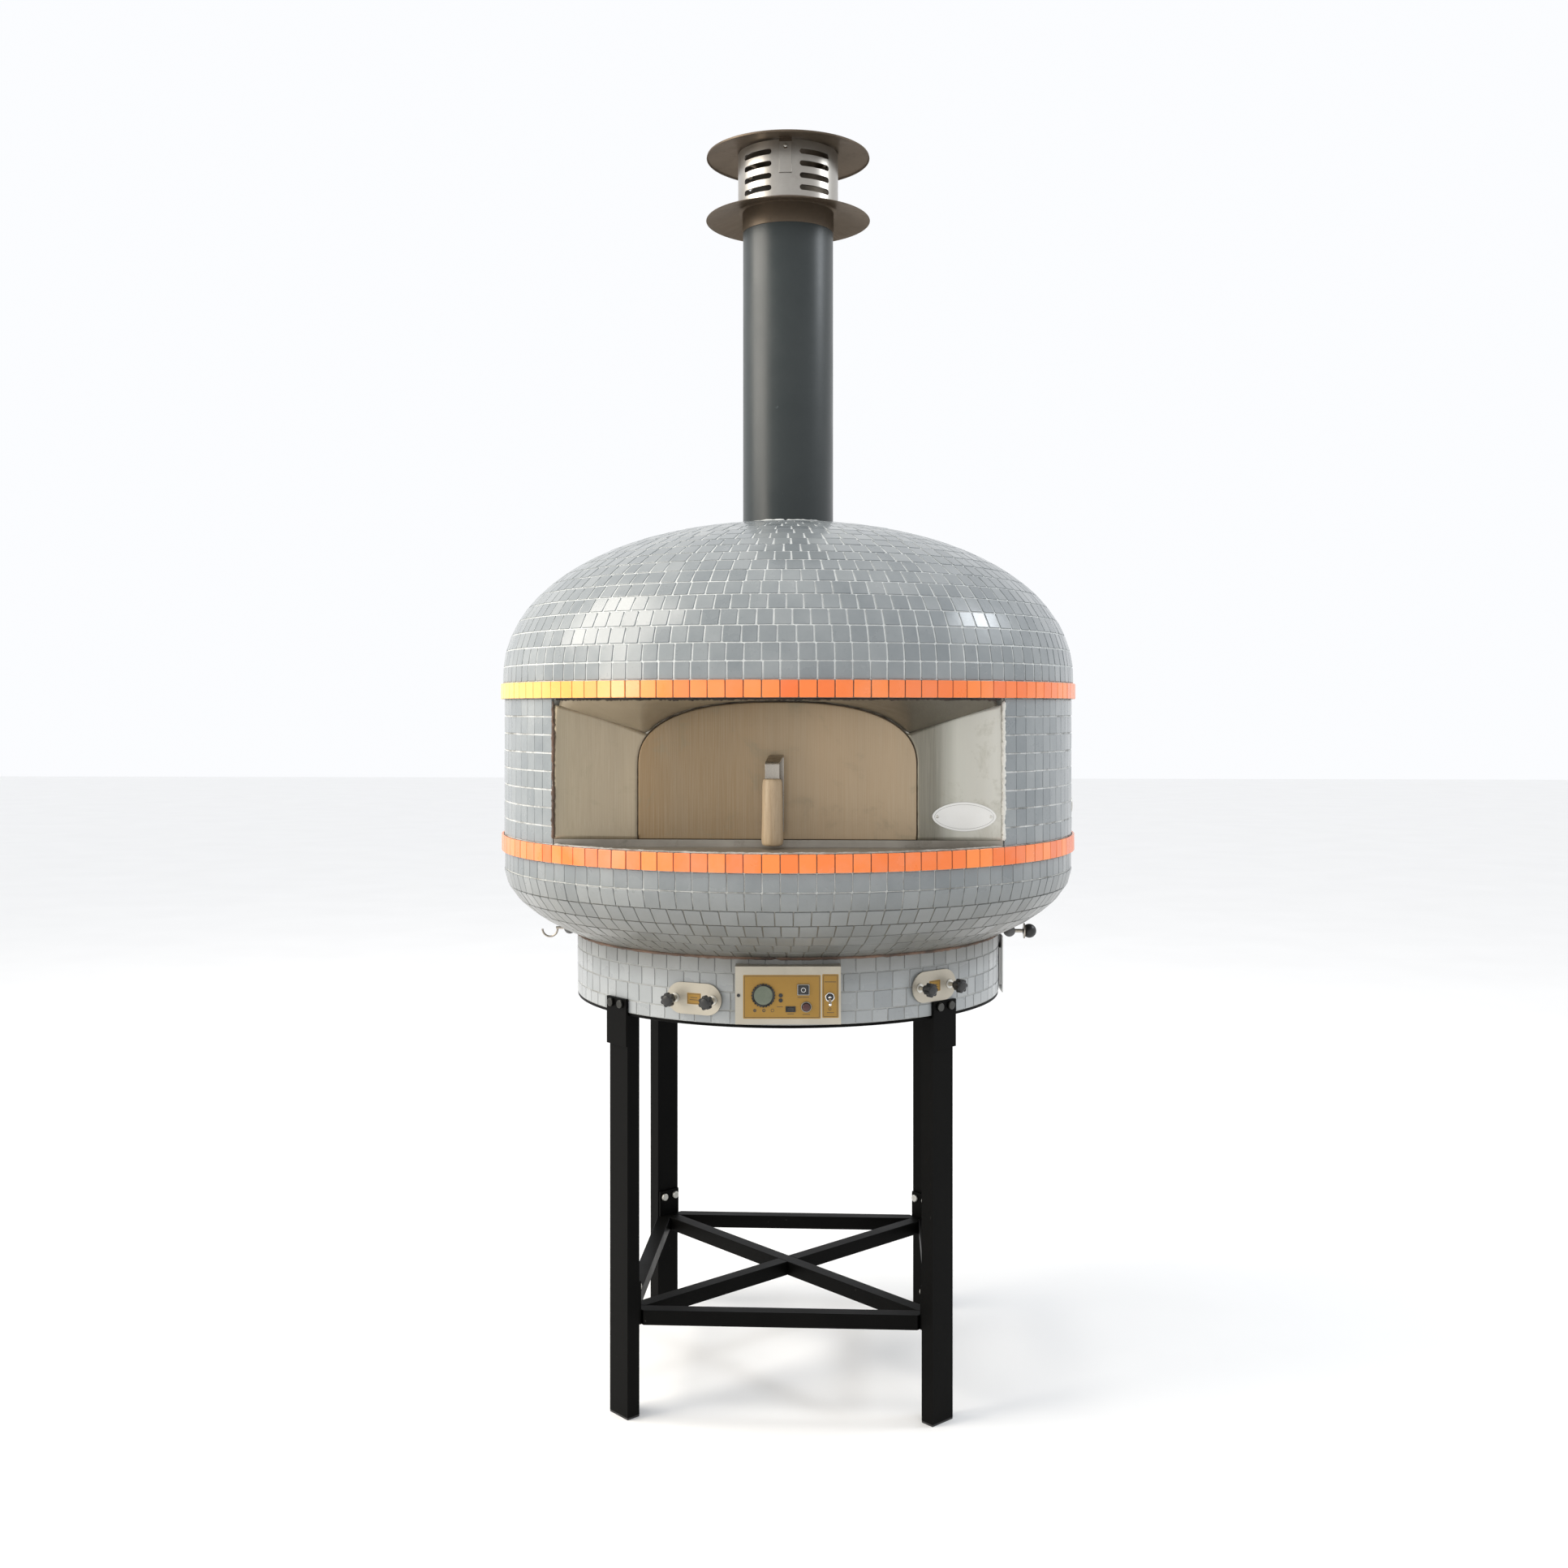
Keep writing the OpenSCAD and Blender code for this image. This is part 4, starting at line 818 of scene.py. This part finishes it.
def rounded(w, h, corner, steps=8):
    """The outline of a rectangle with round corners."""
    outline = []
    for cx, cz, a0 in ((w / 2 - corner, h / 2 - corner, 0), (-w / 2 + corner, h / 2 - corner, 90),
                       (-w / 2 + corner, -h / 2 + corner, 180),
                       (w / 2 - corner, -h / 2 + corner, 270)):
        for k in range(steps + 1):
            a = math.radians(a0 + 90 * k / steps)
            outline.append((cx + corner * math.cos(a), cz + corner * math.sin(a)))
    return outline


def oval(w, h, power=2.0, steps=72):
    """The outline of an ellipse, squarer for a power above 2."""
    out = []
    for k in range(steps):
        a = 2 * math.pi * k / steps
        c, s = math.cos(a), math.sin(a)
        out.append((w / 2 * math.copysign(abs(c) ** (2 / power), c),
                    h / 2 * math.copysign(abs(s) ** (2 / power), s)))
    return out


def on_face(angle, u, y, z):
    """A place u across, y out from the axis and z up, on a face that looks out at an angle."""
    return polar(angle, y, z) + Vector((math.cos(angle), math.sin(angle), 0)) * u


def prism(outline, angle, u, y0, y1, z, soft=0.0, hollow=0.0):
    """Vertices and faces of an outline pushed out from y0 to y1; hollow leaves only a rim."""
    w = max(x for x, _ in outline)
    h = max(v for _, v in outline)
    rings = [(y0, 0.0), (y1 - soft, 0.0), (y1, soft)]
    if hollow:
        rings += [(y1, hollow), (y0, hollow)]
    verts = []
    for y, inset in rings:
        for x, v in outline:
            verts.append(on_face(angle, u + x * (w - inset) / w, y, z + v * (h - inset) / h))
    return verts, loft(len(rings), len(outline), bool(hollow))


def plate(name, outline, angle, u, y0, y1, z, material, slot, soft=0.15 * MM, hollow=0.0,
          holes=()):
    """A thin plate on a face that looks outward at an angle, cut through by outlines."""
    ob = mesh_object(name, *prism(outline, angle, u, y0, y1, z, soft, hollow))
    clean_normals(ob.data)
    for k, (cut, cu, cz) in enumerate(holes):
        cutter = mesh_object("cutter", *prism(cut, angle, cu, y0 - 5 * MM, y1 + 5 * MM, cz))
        clean_normals(cutter.data)
        m = ob.modifiers.new("hole", "BOOLEAN")
        m.operation = "DIFFERENCE"
        m.object = cutter
        done = bpy.data.meshes.new_from_object(
            ob.evaluated_get(bpy.context.evaluated_depsgraph_get()))
        ob.modifiers.clear()
        ob.data = done
        bpy.data.objects.remove(cutter)
    harden(ob)
    return dress(ob, material, slot=slot)


def lathe(name, profile, centre, axis, material, slot, body="oven", sides=32, lobes=0, lobe=0.0,
          ring=False):
    """A turned piece: (r, h) points in mm along an axis from a centre; r may be lobed."""
    axis = Vector(axis).normalized()
    side = axis.orthogonal().normalized()
    up = axis.cross(side)
    verts = []
    for r, h in profile:
        for k in range(sides):
            t = 2 * math.pi * k / sides
            wave = 1 + lobe * math.cos(lobes * t)
            verts.append(Vector(centre) + axis * (h * MM)
                         + (side * math.cos(t) + up * math.sin(t)) * (r * MM) * wave)
    ob = mesh_object(name, verts, loft(len(profile), sides, ring))
    clean_normals(ob.data)
    harden(ob)
    return dress(ob, material, body=body, slot=slot)


def turned(name, profile, angle, u, y, z, material, slot, **more):
    """A turned piece that stands on a face which looks outward at an angle."""
    return lathe(name, profile, on_face(angle, u, y, z), polar(angle, 1, 0), material, slot,
                 **more)


def globe(radius, low_angle, high_angle, steps=14):
    """The profile of a ball for lathe, between two latitudes in degrees."""
    angles = [math.radians(low_angle + (high_angle - low_angle) * k / steps)
              for k in range(steps + 1)]
    return [(radius * math.cos(a), radius * math.sin(a)) for a in angles]


# --- Mouth ---

DOOR_HALF = high("door_panel", 0)
DOOR_FOOT, DOOR_TOP = low("door_panel", 2), high("door_panel", 2)
DOOR_SIDE = DOOR_TOP - 127 * MM      # top of the door's straight sides
DOOR_Y = low("door_panel", 1)
ARCH_N = 2.5


def arch_outline(half, foot, side, rise, steps=72, rows=14):
    """The door's outline from its left foot over the arch to its right foot."""
    left = [(-half, foot + (side - foot) * i / rows) for i in range(rows)]
    arch = []
    for i in range(steps + 1):
        c = math.cos(math.pi * (1 - i / steps))
        x = half * math.copysign(abs(c) ** (2 / ARCH_N), c)
        arch.append((x, side + rise * max(0.0, 1 - c * c) ** (1 / ARCH_N)))
    return left + arch + [(-x, z) for x, z in reversed(left)]


def buckle(x, z, seed, size):
    """The slight unevenness of a thin sheet."""
    return size * noise.noise(Vector((x * 3.1 + seed, z * 4.3, seed))) \
        + 0.4 * size * noise.noise(Vector((x * 9.0, z * 7.0 + seed, seed)))


def build_door():
    """A sheet-faced plug door: dished edges, an uneven face and a plain back."""
    outline = arch_outline(DOOR_HALF, DOOR_FOOT, DOOR_SIDE, DOOR_TOP - DOOR_SIDE)
    middle_z = (DOOR_FOOT + DOOR_SIDE) / 2
    verts = []
    front, back = DOOR_Y, high("door_panel", 1)
    rings = [(1.0, back), (1.0, front + 2.2 * MM)]
    rings += [(1 - 0.0065 * k, front + d * MM) for k, d in ((0.25, 1.2), (0.6, 0.6), (1.1, 0.3))]
    rings += [(0.975 * (1 - i / 16) + 0.002, front) for i in range(16)]
    for shrink, y in rings:
        for x, z in outline:
            px = x * shrink
            pz = middle_z + (z - middle_z) * shrink
            lift = 0.0 if y > front + 3 * MM else \
                0.5 * MM + buckle(px, pz, 4.0, 1.0 * MM) * min(1.0, (1 - shrink) * 12)
            verts.append((px, y + max(lift, 0.0), pz))
    ob = mesh_object("door_sheet", verts, loft(len(rings), len(outline)))
    clean_normals(ob.data)
    harden(ob)
    dress(ob, MOUTH_STEEL, "door_panel")
    path = [Vector((x * 1.004, -FACE_Y + 0.3 * MM, z + (0.7 * MM if z > DOOR_SIDE else 0)))
            for x, z in outline]
    bead("bead_door", path, 0.6 * MM, EDGE_BROWN, 12, 0.7, sides=6)


CHEEK_X, CHEEK_Z = 0.253, 1.387      # where a cheek's sloping top meets the arch


def cheek_top(x):
    """The height of the cheeks' tops, which rise away from the arch."""
    x1, z1 = high("cheek_plates", 0), high("cheek_plates", 2)
    return CHEEK_Z + (z1 - CHEEK_Z) * (abs(x) - CHEEK_X) / (x1 - CHEEK_X)


def build_cheeks():
    """The two sheets beside the door, with an uneven face."""
    top_x = high("cheek_plates", 0)
    columns, rows = 26, 30
    verts, faces = [], []
    for side in (-1, 1):
        start = len(verts)
        for i in range(columns + 1):
            t = i / columns
            for j in range(rows + 1):
                v = j / rows
                z = SILL_Z + (cheek_top(CHEEK_X + (top_x - CHEEK_X) * t) - SILL_Z) * v
                inner = DOOR_HALF + 1.5 * MM
                if z > DOOR_SIDE:
                    q = min(1.0, (z - DOOR_SIDE) / (DOOR_TOP + 1.5 * MM - DOOR_SIDE))
                    inner *= (1 - q ** ARCH_N) ** (1 / ARCH_N)
                x = inner + (top_x - inner) * t
                fade = min(1.0, 6 * t, 6 * (1 - t), 6 * v, 6 * (1 - v))
                lift = max(0.0, 0.6 * MM + buckle(side * x, z, 9.0, 1.4 * MM))
                verts.append((side * x, -FACE_Y + lift * fade + 0.05 * MM, z))
        faces += grid(columns, rows, start)
    ob = mesh_object("cheek_sheets", verts, faces)
    face_away(ob.data, 1)
    thicken(ob, 2 * MM)
    dress(ob, CHEEK_STEEL, "cheek_plates")


def build_hood():
    """The ruled sheet from the arch and the cheeks' tops out to the upper band."""
    top = high("mouth_hood", 2) - 1.6 * MM
    half = high("mouth_hood", 0)
    r_out = -low("mouth_hood", 1)
    steps, rows = 96, 16
    verts = []
    arch_half = DOOR_HALF + 3.5 * MM
    for i in range(steps + 1):
        x = half * (2 * i / steps - 1)
        inner = cheek_top(x)
        if abs(x) < 0.255:
            inner = DOOR_SIDE + (DOOR_TOP - DOOR_SIDE + 3 * MM) * \
                max(0.0, 1 - (abs(x) / arch_half) ** ARCH_N) ** (1 / ARCH_N)
        xo = 0.99 * x
        yo = -math.sqrt(max(r_out * r_out - xo * xo, 0))
        for j in range(rows + 1):
            t = j / rows
            p = Vector((x, -FACE_Y + 2 * MM, inner)).lerp(Vector((xo, yo, top)), t)
            p.z += buckle(p.x, p.y, 3.0, 1.5 * MM) * min(1.0, 5 * t, 5 * (1 - t))
            verts.append(p)
    ob = mesh_object("hood_sheet", verts, grid(steps, rows))
    face_away(ob.data, 2)
    thicken(ob, 1.6 * MM)
    dress(ob, HOOD_STEEL, "mouth_hood")


def name_plate():
    """A blank white oval with a fine border and two rivets."""
    lo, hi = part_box("name_plate")
    u, z, y = (lo.x + hi.x) / 2, (lo.z + hi.z) / 2, -hi.y
    w = hi.x - lo.x
    ob = plate("oval_plate", oval(w, 0.46 * w, 1.85), 0.0, u, y, y + 1.2 * MM, z, PLATE_WHITE,
               "plate_white", 0.3 * MM)
    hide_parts("name_plate")
    plate("oval_border", oval(0.93 * w, 0.39 * w, 1.85), 0.0, u, y, y + 1.35 * MM, z,
          PLAIN_STEEL, "plate_white", 0.05 * MM, 0.5 * MM)
    for side, word in SIDES:
        turned("oval_rivet_" + word, [(2.9, 0), (2.7, 0.7), (1.7, 1.2), (0.4, 1.35)],
               0.0, u + side * 0.42 * w, y + 1.1 * MM, z, ZINC, "bolt_zinc")


def build_grip():
    """The turned grip: a full waist, rounded ends and a small bead at the top."""
    lo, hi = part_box("door_grip")
    cx, cy, r = (lo.x + hi.x) / 2, (lo.y + hi.y) / 2, (hi.x - lo.x) / 2
    z0, z1 = lo.z, hi.z
    shape = ((0.72, 0.0), (0.88, 0.01), (0.97, 0.04), (1.0, 0.09), (0.985, 0.2), (0.965, 0.35),
             (0.955, 0.5), (0.95, 0.66), (0.935, 0.82), (0.91, 0.93), (0.84, 0.975), (0.70, 0.995))
    verts = []
    sides = 48
    for s, v in shape:
        for k in range(sides):
            t = 2 * math.pi * k / sides
            verts.append((cx + r * s * math.cos(t), cy + r * s * math.sin(t), z0 + (z1 - z0) * v))
    ob = mesh_object("grip_turned", verts, loft(len(shape), sides))
    harden(ob)
    dress(ob, WOOD, "door_grip")


def build_bracket():
    """A flat bar on the door, bent out over a sloping shoulder and down into the grip.

    It is slightly twisted, so that its front hangs over the grip's axis.
    """
    lo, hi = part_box("door_bracket")
    grip_lo, grip_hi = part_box("door_grip")
    thick, half = 3.0 * MM, (hi.x - lo.x) / 2
    aside = (grip_lo.x + grip_hi.x) / 2
    back, front, top = hi.y - thick / 2, lo.y + thick / 2, hi.z
    line = [(back, lo.z), (back, top - 9 * MM), (back - 0.8 * MM, top - 4.5 * MM),
            (back - 3.5 * MM, top - 2 * MM), (back - 7 * MM, top - 2.2 * MM),
            (front + 5 * MM, top - 13 * MM), (front + 1.2 * MM, top - 15.5 * MM),
            (front, top - 20 * MM), (front, grip_hi.z - 3 * MM)]
    verts = []
    for k, (y, z) in enumerate(line):
        before, after = line[max(0, k - 1)], line[min(len(line) - 1, k + 1)]
        along = Vector((0, after[0] - before[0], after[1] - before[1])).normalized()
        out = Vector((0, -along.z, along.y)) * thick / 2
        x = aside * (back - y) / (back - front)
        for dx, side in ((-half, 1), (half, 1), (half, -1), (-half, -1)):
            verts.append(Vector((x + dx, y, z)) + out * side)
    ob = mesh_object("bracket_bent", verts, loft(len(line), 4))
    clean_normals(ob.data)
    harden(ob, 0.5 * MM, 2, 50)
    dress(ob, BRACKET_STEEL, "door_bracket")


# --- Assembly of the pieces ---

def clad():
    lay_round("dome", dome_curve(), 11, 2.8, 2.6, 35.6, 0.05, GROUT_LIGHT)
    lay_band("upper", UP_BAND_R, UP_BAND_Z, DOME_FOOT, "upper_band", 17)
    lay_wall()
    lay_band("lower", LOW_BAND_R, LOW_BAND_Z, WALL_Z, "lower_band", 19)
    lay_round("bowl", bowl_curve(), 37, 1.7, 2.4, 34.5, 0.03, GROUT_BOWL)
    lay_drum()
    lay_beads()


def refine_all(material, **bevels):
    """Refines nodes, each with the rounding of its edges in mm."""
    for node, bevel in bevels.items():
        refine(node, material, bevel * MM)


def stand():
    refine_all(STAND_PAINT, leg_front_left=1.2, leg_front_right=1.2, leg_rear_left=1.2,
               leg_rear_right=1.2, rail_front=1.5, rail_rear=1.5, rail_left=1.5, rail_right=1.5,
               brace_long=1.5, brace_halves=1.5, corner_tabs=0.8)
    refine_all(PLASTIC_MATTE, foot_plugs=0.8)
    refine_all(STAND_PAINT, drum_base_plate=1.0)
    islands("stand_bolts", ZINC, "bolts_low", lambda p: p.z < 0.5, 1.6 * MM)
    islands("stand_bolts", BOLT_DARK, "bolts_high", lambda p: p.z > 0.5, 1.6 * MM)


def mouth():
    build_door()
    build_cheeks()
    build_hood()
    build_grip()
    build_bracket()
    refine_all(SILL_STEEL, sill_plate=0.3)
    refine_all(CHEEK_STEEL, throat_liner=0.0)
    name_plate()


def flue():
    refine_all(FLUE_PAINT, flue_pipe=0.0)
    refine_all(COWL_PAINTED_DARK, cowl_skirt=0.3)
    refine_all(COWL_STEEL, cowl_louver=0.3)
    refine_all(COWL_PAINTED_DARK, cowl_cap=0.4)
    louver_r = high("cowl_louver", 0)
    strap_low, strap_top = low("cowl_cap", 2), high("cowl_louver", 2) - 5 * MM
    middle = (strap_low + strap_top) / 2
    for k, turn in enumerate((0, 144, -144)):
        angle = math.radians(turn)
        plate("cowl_strap_%d" % (k + 1), rounded(27.6 * MM, strap_top - strap_low, 1 * MM),
              angle, 0, louver_r + 0.1 * MM, louver_r + 2.6 * MM, middle, COWL_STEEL,
              "cover_steel", 0.5 * MM)
        turned("cowl_rivet_%d" % (k + 1), [(4.6, 0), (4.4, 1.4), (2.8, 2.3), (0.6, 2.6)],
               angle, 0, louver_r + 2.4 * MM, strap_top - 10 * MM, ZINC, "bolt_zinc")


def controls():
    refine_all(PANEL_STEEL, control_box=0.7)
    refine_all(PLASTIC_BLACK, display=0.4, switch_bodies=0.5, square_button=0.9,
               round_button=1.2, rocker=0.5)
    refine_all(CHROME, toggle_lever=0.0)
    for k in range(1, 5):
        refine("star_knob_%d" % k, PLASTIC_BLACK, 1.3 * MM, 3)
    refine_all(PANEL_STEEL, port_covers=0.5)
    refine_all(PLATE_WHITE, service_cover=0.6)
    refine_all(PLASTIC_BLACK, cable_gland=0.8)
    turned("display_face", [(18.4, 0), (18.4, 0.5), (17.6, 1.0), (9, 1.35), (1, 1.45)],
           BOX_ANGLE, DISPLAY_U, FASCIA_Y + 1.5 * MM, BOX_Z, DISPLAY_LENS, "display_glass",
           sides=48)
    fascia_print()
    plate("square_frame", rounded(23.4 * MM, 20.8 * MM, 1.5 * MM), BOX_ANGLE, SQUARE_U,
          FASCIA_Y + 2.4 * MM, FASCIA_Y + 2.9 * MM, SQUARE_Z, PLAIN_STEEL, "cover_steel",
          hollow=1.6 * MM)
    turned("round_rim", [(8.3, 0), (10.0, 0), (10.2, 0.9), (9.4, 1.6), (8.3, 1.2)],
           BOX_ANGLE, ROUND_U, FASCIA_Y + 1.6 * MM, ROUND_Z, PLAIN_STEEL, "cover_steel",
           sides=40, ring=True)
    turned("toggle_nut", [(6.1, 0), (8.9, 0), (9.1, 0.5), (9.1, 2.6), (8.2, 3.2), (6.1, 3.2)],
           BOX_ANGLE, TOGGLE_U, FASCIA_Y + 0.4 * MM, TOGGLE_Z, CHROME, "chrome",
           sides=48, ring=True, lobes=6, lobe=0.03)
    for k in range(1, 5):
        angle, z = PORTS[(k - 1) // 2]
        u = (-KNOB_U, KNOB_U)[(k - 1) % 2]
        turned("knob_cap_%d" % k, [(3.0, -2), (9.6, -2), (9.2, 0.2), (7.0, 1.0), (2.0, 1.3)],
               angle, u, KNOB_FACE, z, PLASTIC_BLACK, "knob_black", body="knob_%d" % k)
        turned("stud_washer_%d" % k, [(4.2, 0), (9, 0), (9, 1.6), (8.4, 2.2), (4.2, 2.2)],
               angle, u, PORT_FACE, z, ZINC, "bolt_zinc", ring=True)
    for k, (angle, z) in enumerate(PORTS, 1):
        port_label(k, angle, z)


def port_label(k, angle, z):
    """A gold label with a border and two plain bars, no lettering."""
    ink = (PRINT_DARK, "switch_black", 0.05 * MM)
    ink_face = PORT_FACE + 0.55 * MM
    plate("port_label_%d" % k, rounded(30 * MM, 22 * MM, 1 * MM), angle, 0, PORT_FACE,
          PORT_FACE + 0.4 * MM, z, GOLD, "cover_steel")
    plate("port_border_%d" % k, rounded(27 * MM, 19 * MM, 1 * MM), angle, 0, PORT_FACE,
          ink_face, z, *ink, 0.7 * MM)
    for row, word, width in ((-1, "low", 19), (1, "high", 15)):
        plate("port_line_%d_%s" % (k, word), rounded(width * MM, 1.3 * MM, 0.5 * MM, 4), angle,
              0, PORT_FACE, ink_face, z + row * 2.2 * MM, *ink)


def fascia_print():
    """The two gold labels of the fascia with plain borders and plain marks, no lettering."""
    back, gold_face, ink_face = (FASCIA_Y + y * MM for y in (-0.2, 0.35, 0.5))

    def ink(name, outline, u, z, hollow=0.0):
        plate(name, outline, BOX_ANGLE, u, back, ink_face, z, PRINT_DARK, "switch_black",
              0.05 * MM, hollow * MM)

    holes = ((oval(37.6 * MM, 37.6 * MM), DISPLAY_U, BOX_Z),
             (rounded(19.2 * MM, 17.2 * MM, 1 * MM), SQUARE_U, SQUARE_Z),
             (oval(16.4 * MM, 16.4 * MM, steps=40), ROUND_U, ROUND_Z),
             (rounded(15.3 * MM, 7.5 * MM, 1 * MM), ROCKER_U, ROCKER_Z))
    toggle = ((oval(10.4 * MM, 10.4 * MM, steps=32), TOGGLE_U, TOGGLE_Z),)
    for name, u, w, z, h, cuts in (("main", -11.9, 149, -2.7, 84, holes),
                                   ("side", 81.4, 31.5, -1.2, 84, toggle)):
        plate("label_" + name, rounded(w * MM, h * MM, 2 * MM), BOX_ANGLE, u * MM, back,
              gold_face, BOX_Z + z * MM, GOLD, "cover_steel", holes=cuts)
        ink("label_border_" + name, rounded((w - 4) * MM, (h - 4) * MM, 1.5 * MM), u * MM,
            BOX_Z + z * MM, 0.9)
    bars = ((29.5, -3.6, 22, 1.2), (35, -36.5, 15, 1.2), (4.8, -35.5, 13, 1.2),
            (-16, -22, 12, 1.1), (81.4, 26, 22, 1.3), (81.4, -33, 14, 1.3))
    for k, (u, z, w, h) in enumerate(bars):
        ink("mark_bar_%d" % (k + 1), rounded(w * MM, h * MM, 0.45 * MM, 4), u * MM,
            BOX_Z + z * MM)
    for k, (u, wall) in enumerate(((-64, 2.8), (-46.5, 1.9), (-30, 1.0))):
        ink("mark_ring_%d" % (k + 1), oval(6.5 * MM, 6.5 * MM, steps=28), u * MM,
            BOX_Z - 29 * MM, wall)
    ink("mark_toggle", oval(6 * MM, 6 * MM, steps=28), TOGGLE_U, BOX_Z - 26 * MM, 1.1)
    plate("button_ring", oval(9 * MM, 9 * MM, steps=36), BOX_ANGLE, SQUARE_U,
          FASCIA_Y + 4.2 * MM, FASCIA_Y + 4.75 * MM, SQUARE_Z, PLATE_WHITE, "plate_white",
          0.05 * MM, 0.8 * MM)
    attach(bpy.data.objects["button_ring"], "square_button")
    turned("button_dome", [(7.5, 0), (7.3, 0.8), (5, 1.6), (1, 1.9)],
           BOX_ANGLE, ROUND_U, FASCIA_Y + 5.3 * MM, ROUND_Z, LENS_RED, "switch_black",
           body="round_button")


def islands(node, material, name, wanted, bevel):
    """The separate solids of a CAD node that are wanted, as one piece that stands for it."""
    ob = refine(node, material, bevel)
    bm = bmesh.new()
    bm.from_mesh(ob.data)
    seen = set()
    for start in list(bm.verts):
        if start in seen:
            continue
        group, todo = [], [start]
        seen.add(start)
        while todo:
            v = todo.pop()
            group.append(v)
            for e in v.link_edges:
                w = e.other_vert(v)
                if w not in seen:
                    seen.add(w)
                    todo.append(w)
        if not wanted(sum((v.co for v in group), Vector()) / len(group)):
            for v in group:
                v.tag = True
    bmesh.ops.delete(bm, geom=[v for v in bm.verts if v.tag], context="VERTS")
    bm.to_mesh(ob.data)
    bm.free()
    ob.name = ob.data.name = name
    return ob


def thermometer():
    """The dial in the wall's right side: a steel rim and a red-brown glass."""
    place = (DIAL_ANGLE, 0, WALL_R, DIAL_Z)
    turned("dial_rim", [(14.5, 0), (17.6, 0), (17.9, 1), (17.6, 5.5), (16.6, 7.2), (14.8, 7.4),
                        (14.5, 6)], *place, ZINC, "fitting_steel", sides=48, ring=True)
    turned("dial_glass", [(14.6, 0), (14.6, 5.2), (10, 6.4), (5, 7.0), (0.8, 7.2)], *place,
           LENS_RED, "fitting_steel", sides=48)


def fittings():
    """The hook on the left and the pull knob on the right, both on dark cast bulges."""
    islands("side_fittings", BRACKET_STEEL, "hook_left", lambda p: p.x < 0, 0.4 * MM)
    islands("side_fittings", BRACKET_STEEL, "pull_right", lambda p: 0 < p.x < 0.6, 0.4 * MM)
    for side, word in SIDES:
        lathe("bulge_" + word, globe(13.4, -65, 89),
              Vector((side * (DRUM_R + 25 * MM), 0, FITTING_Z)), Vector((side, 0, 0)), IRON,
              "fitting_steel", sides=40)
    lathe("pull_ball", globe(15.5, -72, 89), Vector((PULL_X, 0, FITTING_Z)),
          Vector((1, 0, 0)), PLASTIC_BLACK, "fitting_steel", sides=48)


def core():
    """The hidden and half-hidden inside keeps its CAD shapes, with its own looks."""
    looks = ((PLAIN_STEEL, "drum_shell", "floor_plate", "hearth_carrier", "hearth_shaft"),
             (RENDER, "bowl_shell", "render_shell"),
             (REFRACTORY, "cast_dome", "kerb_ring", "hearth_disc"),
             (INSULATION, "dome_insulation", "base_insulation"),
             (MOTOR_PAINT, "hearth_motor"), (IRON, "hearth_bearing"))
    for material, *nodes in looks:
        for node in nodes:
            ob = frame["nodes"][node]
            ob.data.materials.clear()
            ob.data.materials.append(material)


clad()
stand()
mouth()
flue()
controls()
thermometer()
fittings()
core()


# --- Light and camera ---

CAMERA_BEARING = math.radians(2.9)
CAMERA_AWAY = 3.61
CAMERA_HIGH = 1.437
CAMERA_LENS = 37.27
CAMERA_SHIFT = (-0.0026, -0.048)


def area(name, at, aim, size, power, color):
    """A square area light that looks at a point."""
    data = bpy.data.lights.new(name, "AREA")
    data.shape = "SQUARE"
    data.size = size
    data.energy = power
    data.color = color
    ob = bpy.data.objects.new(name, data)
    bpy.context.collection.objects.link(ob)
    ob.location = at
    ob.rotation_euler = (Vector(aim) - Vector(at)).to_track_quat("-Z", "Y").to_euler()


def studio():
    floor = Mat("studio_floor")
    cloud = floor.noise(2.0, 3.0, 0.5)
    floor.set(Base_Color=floor.ramp(cloud, (0.3, (0.90, 0.90, 0.895)), (0.7, (0.92, 0.92, 0.915))),
              Roughness=0.85, Normal=floor.bump(floor.noise(90.0, 3.0, 0.5), 0.1 * MM, 0.2))
    ground = mesh_object("studio_floor", [(-30, -30, 0), (30, -30, 0), (30, 30, 0), (-30, 30, 0)],
                         [(0, 1, 2, 3)])
    ground.data.materials.append(floor.mat)
    world = bpy.data.worlds.new("studio")
    bpy.context.scene.world = world
    world.use_nodes = True
    sky = world.node_tree.nodes["Background"]
    sky.inputs["Color"].default_value = (0.97, 0.98, 1.0, 1.0)
    sky.inputs["Strength"].default_value = 1.0
    bpy.context.scene.view_settings.view_transform = "Standard"
    area("key", (-3.5, -0.9, 3.9), (0, 0, 1.4), 3.0, 200, (1.0, 0.94, 0.85))
    area("front", (-4.4, -2.6, 1.7), (0, 0, 1.3), 1.4, 48, (1.0, 0.92, 0.80))
    area("side", (3.6, 0.2, 4.0), (0, 0, 1.4), 1.1, 48, (0.90, 0.95, 1.0))
    data = bpy.data.cameras.new("camera")
    data.sensor_width = 36.0
    data.lens = CAMERA_LENS
    data.shift_x, data.shift_y = CAMERA_SHIFT
    data.clip_end = 100
    cam = bpy.data.objects.new("camera", data)
    bpy.context.collection.objects.link(cam)
    cam.location = polar(CAMERA_BEARING, CAMERA_AWAY, CAMERA_HIGH)
    cam.rotation_euler = (math.radians(90), 0, CAMERA_BEARING)
    bpy.context.scene.camera = cam


studio()
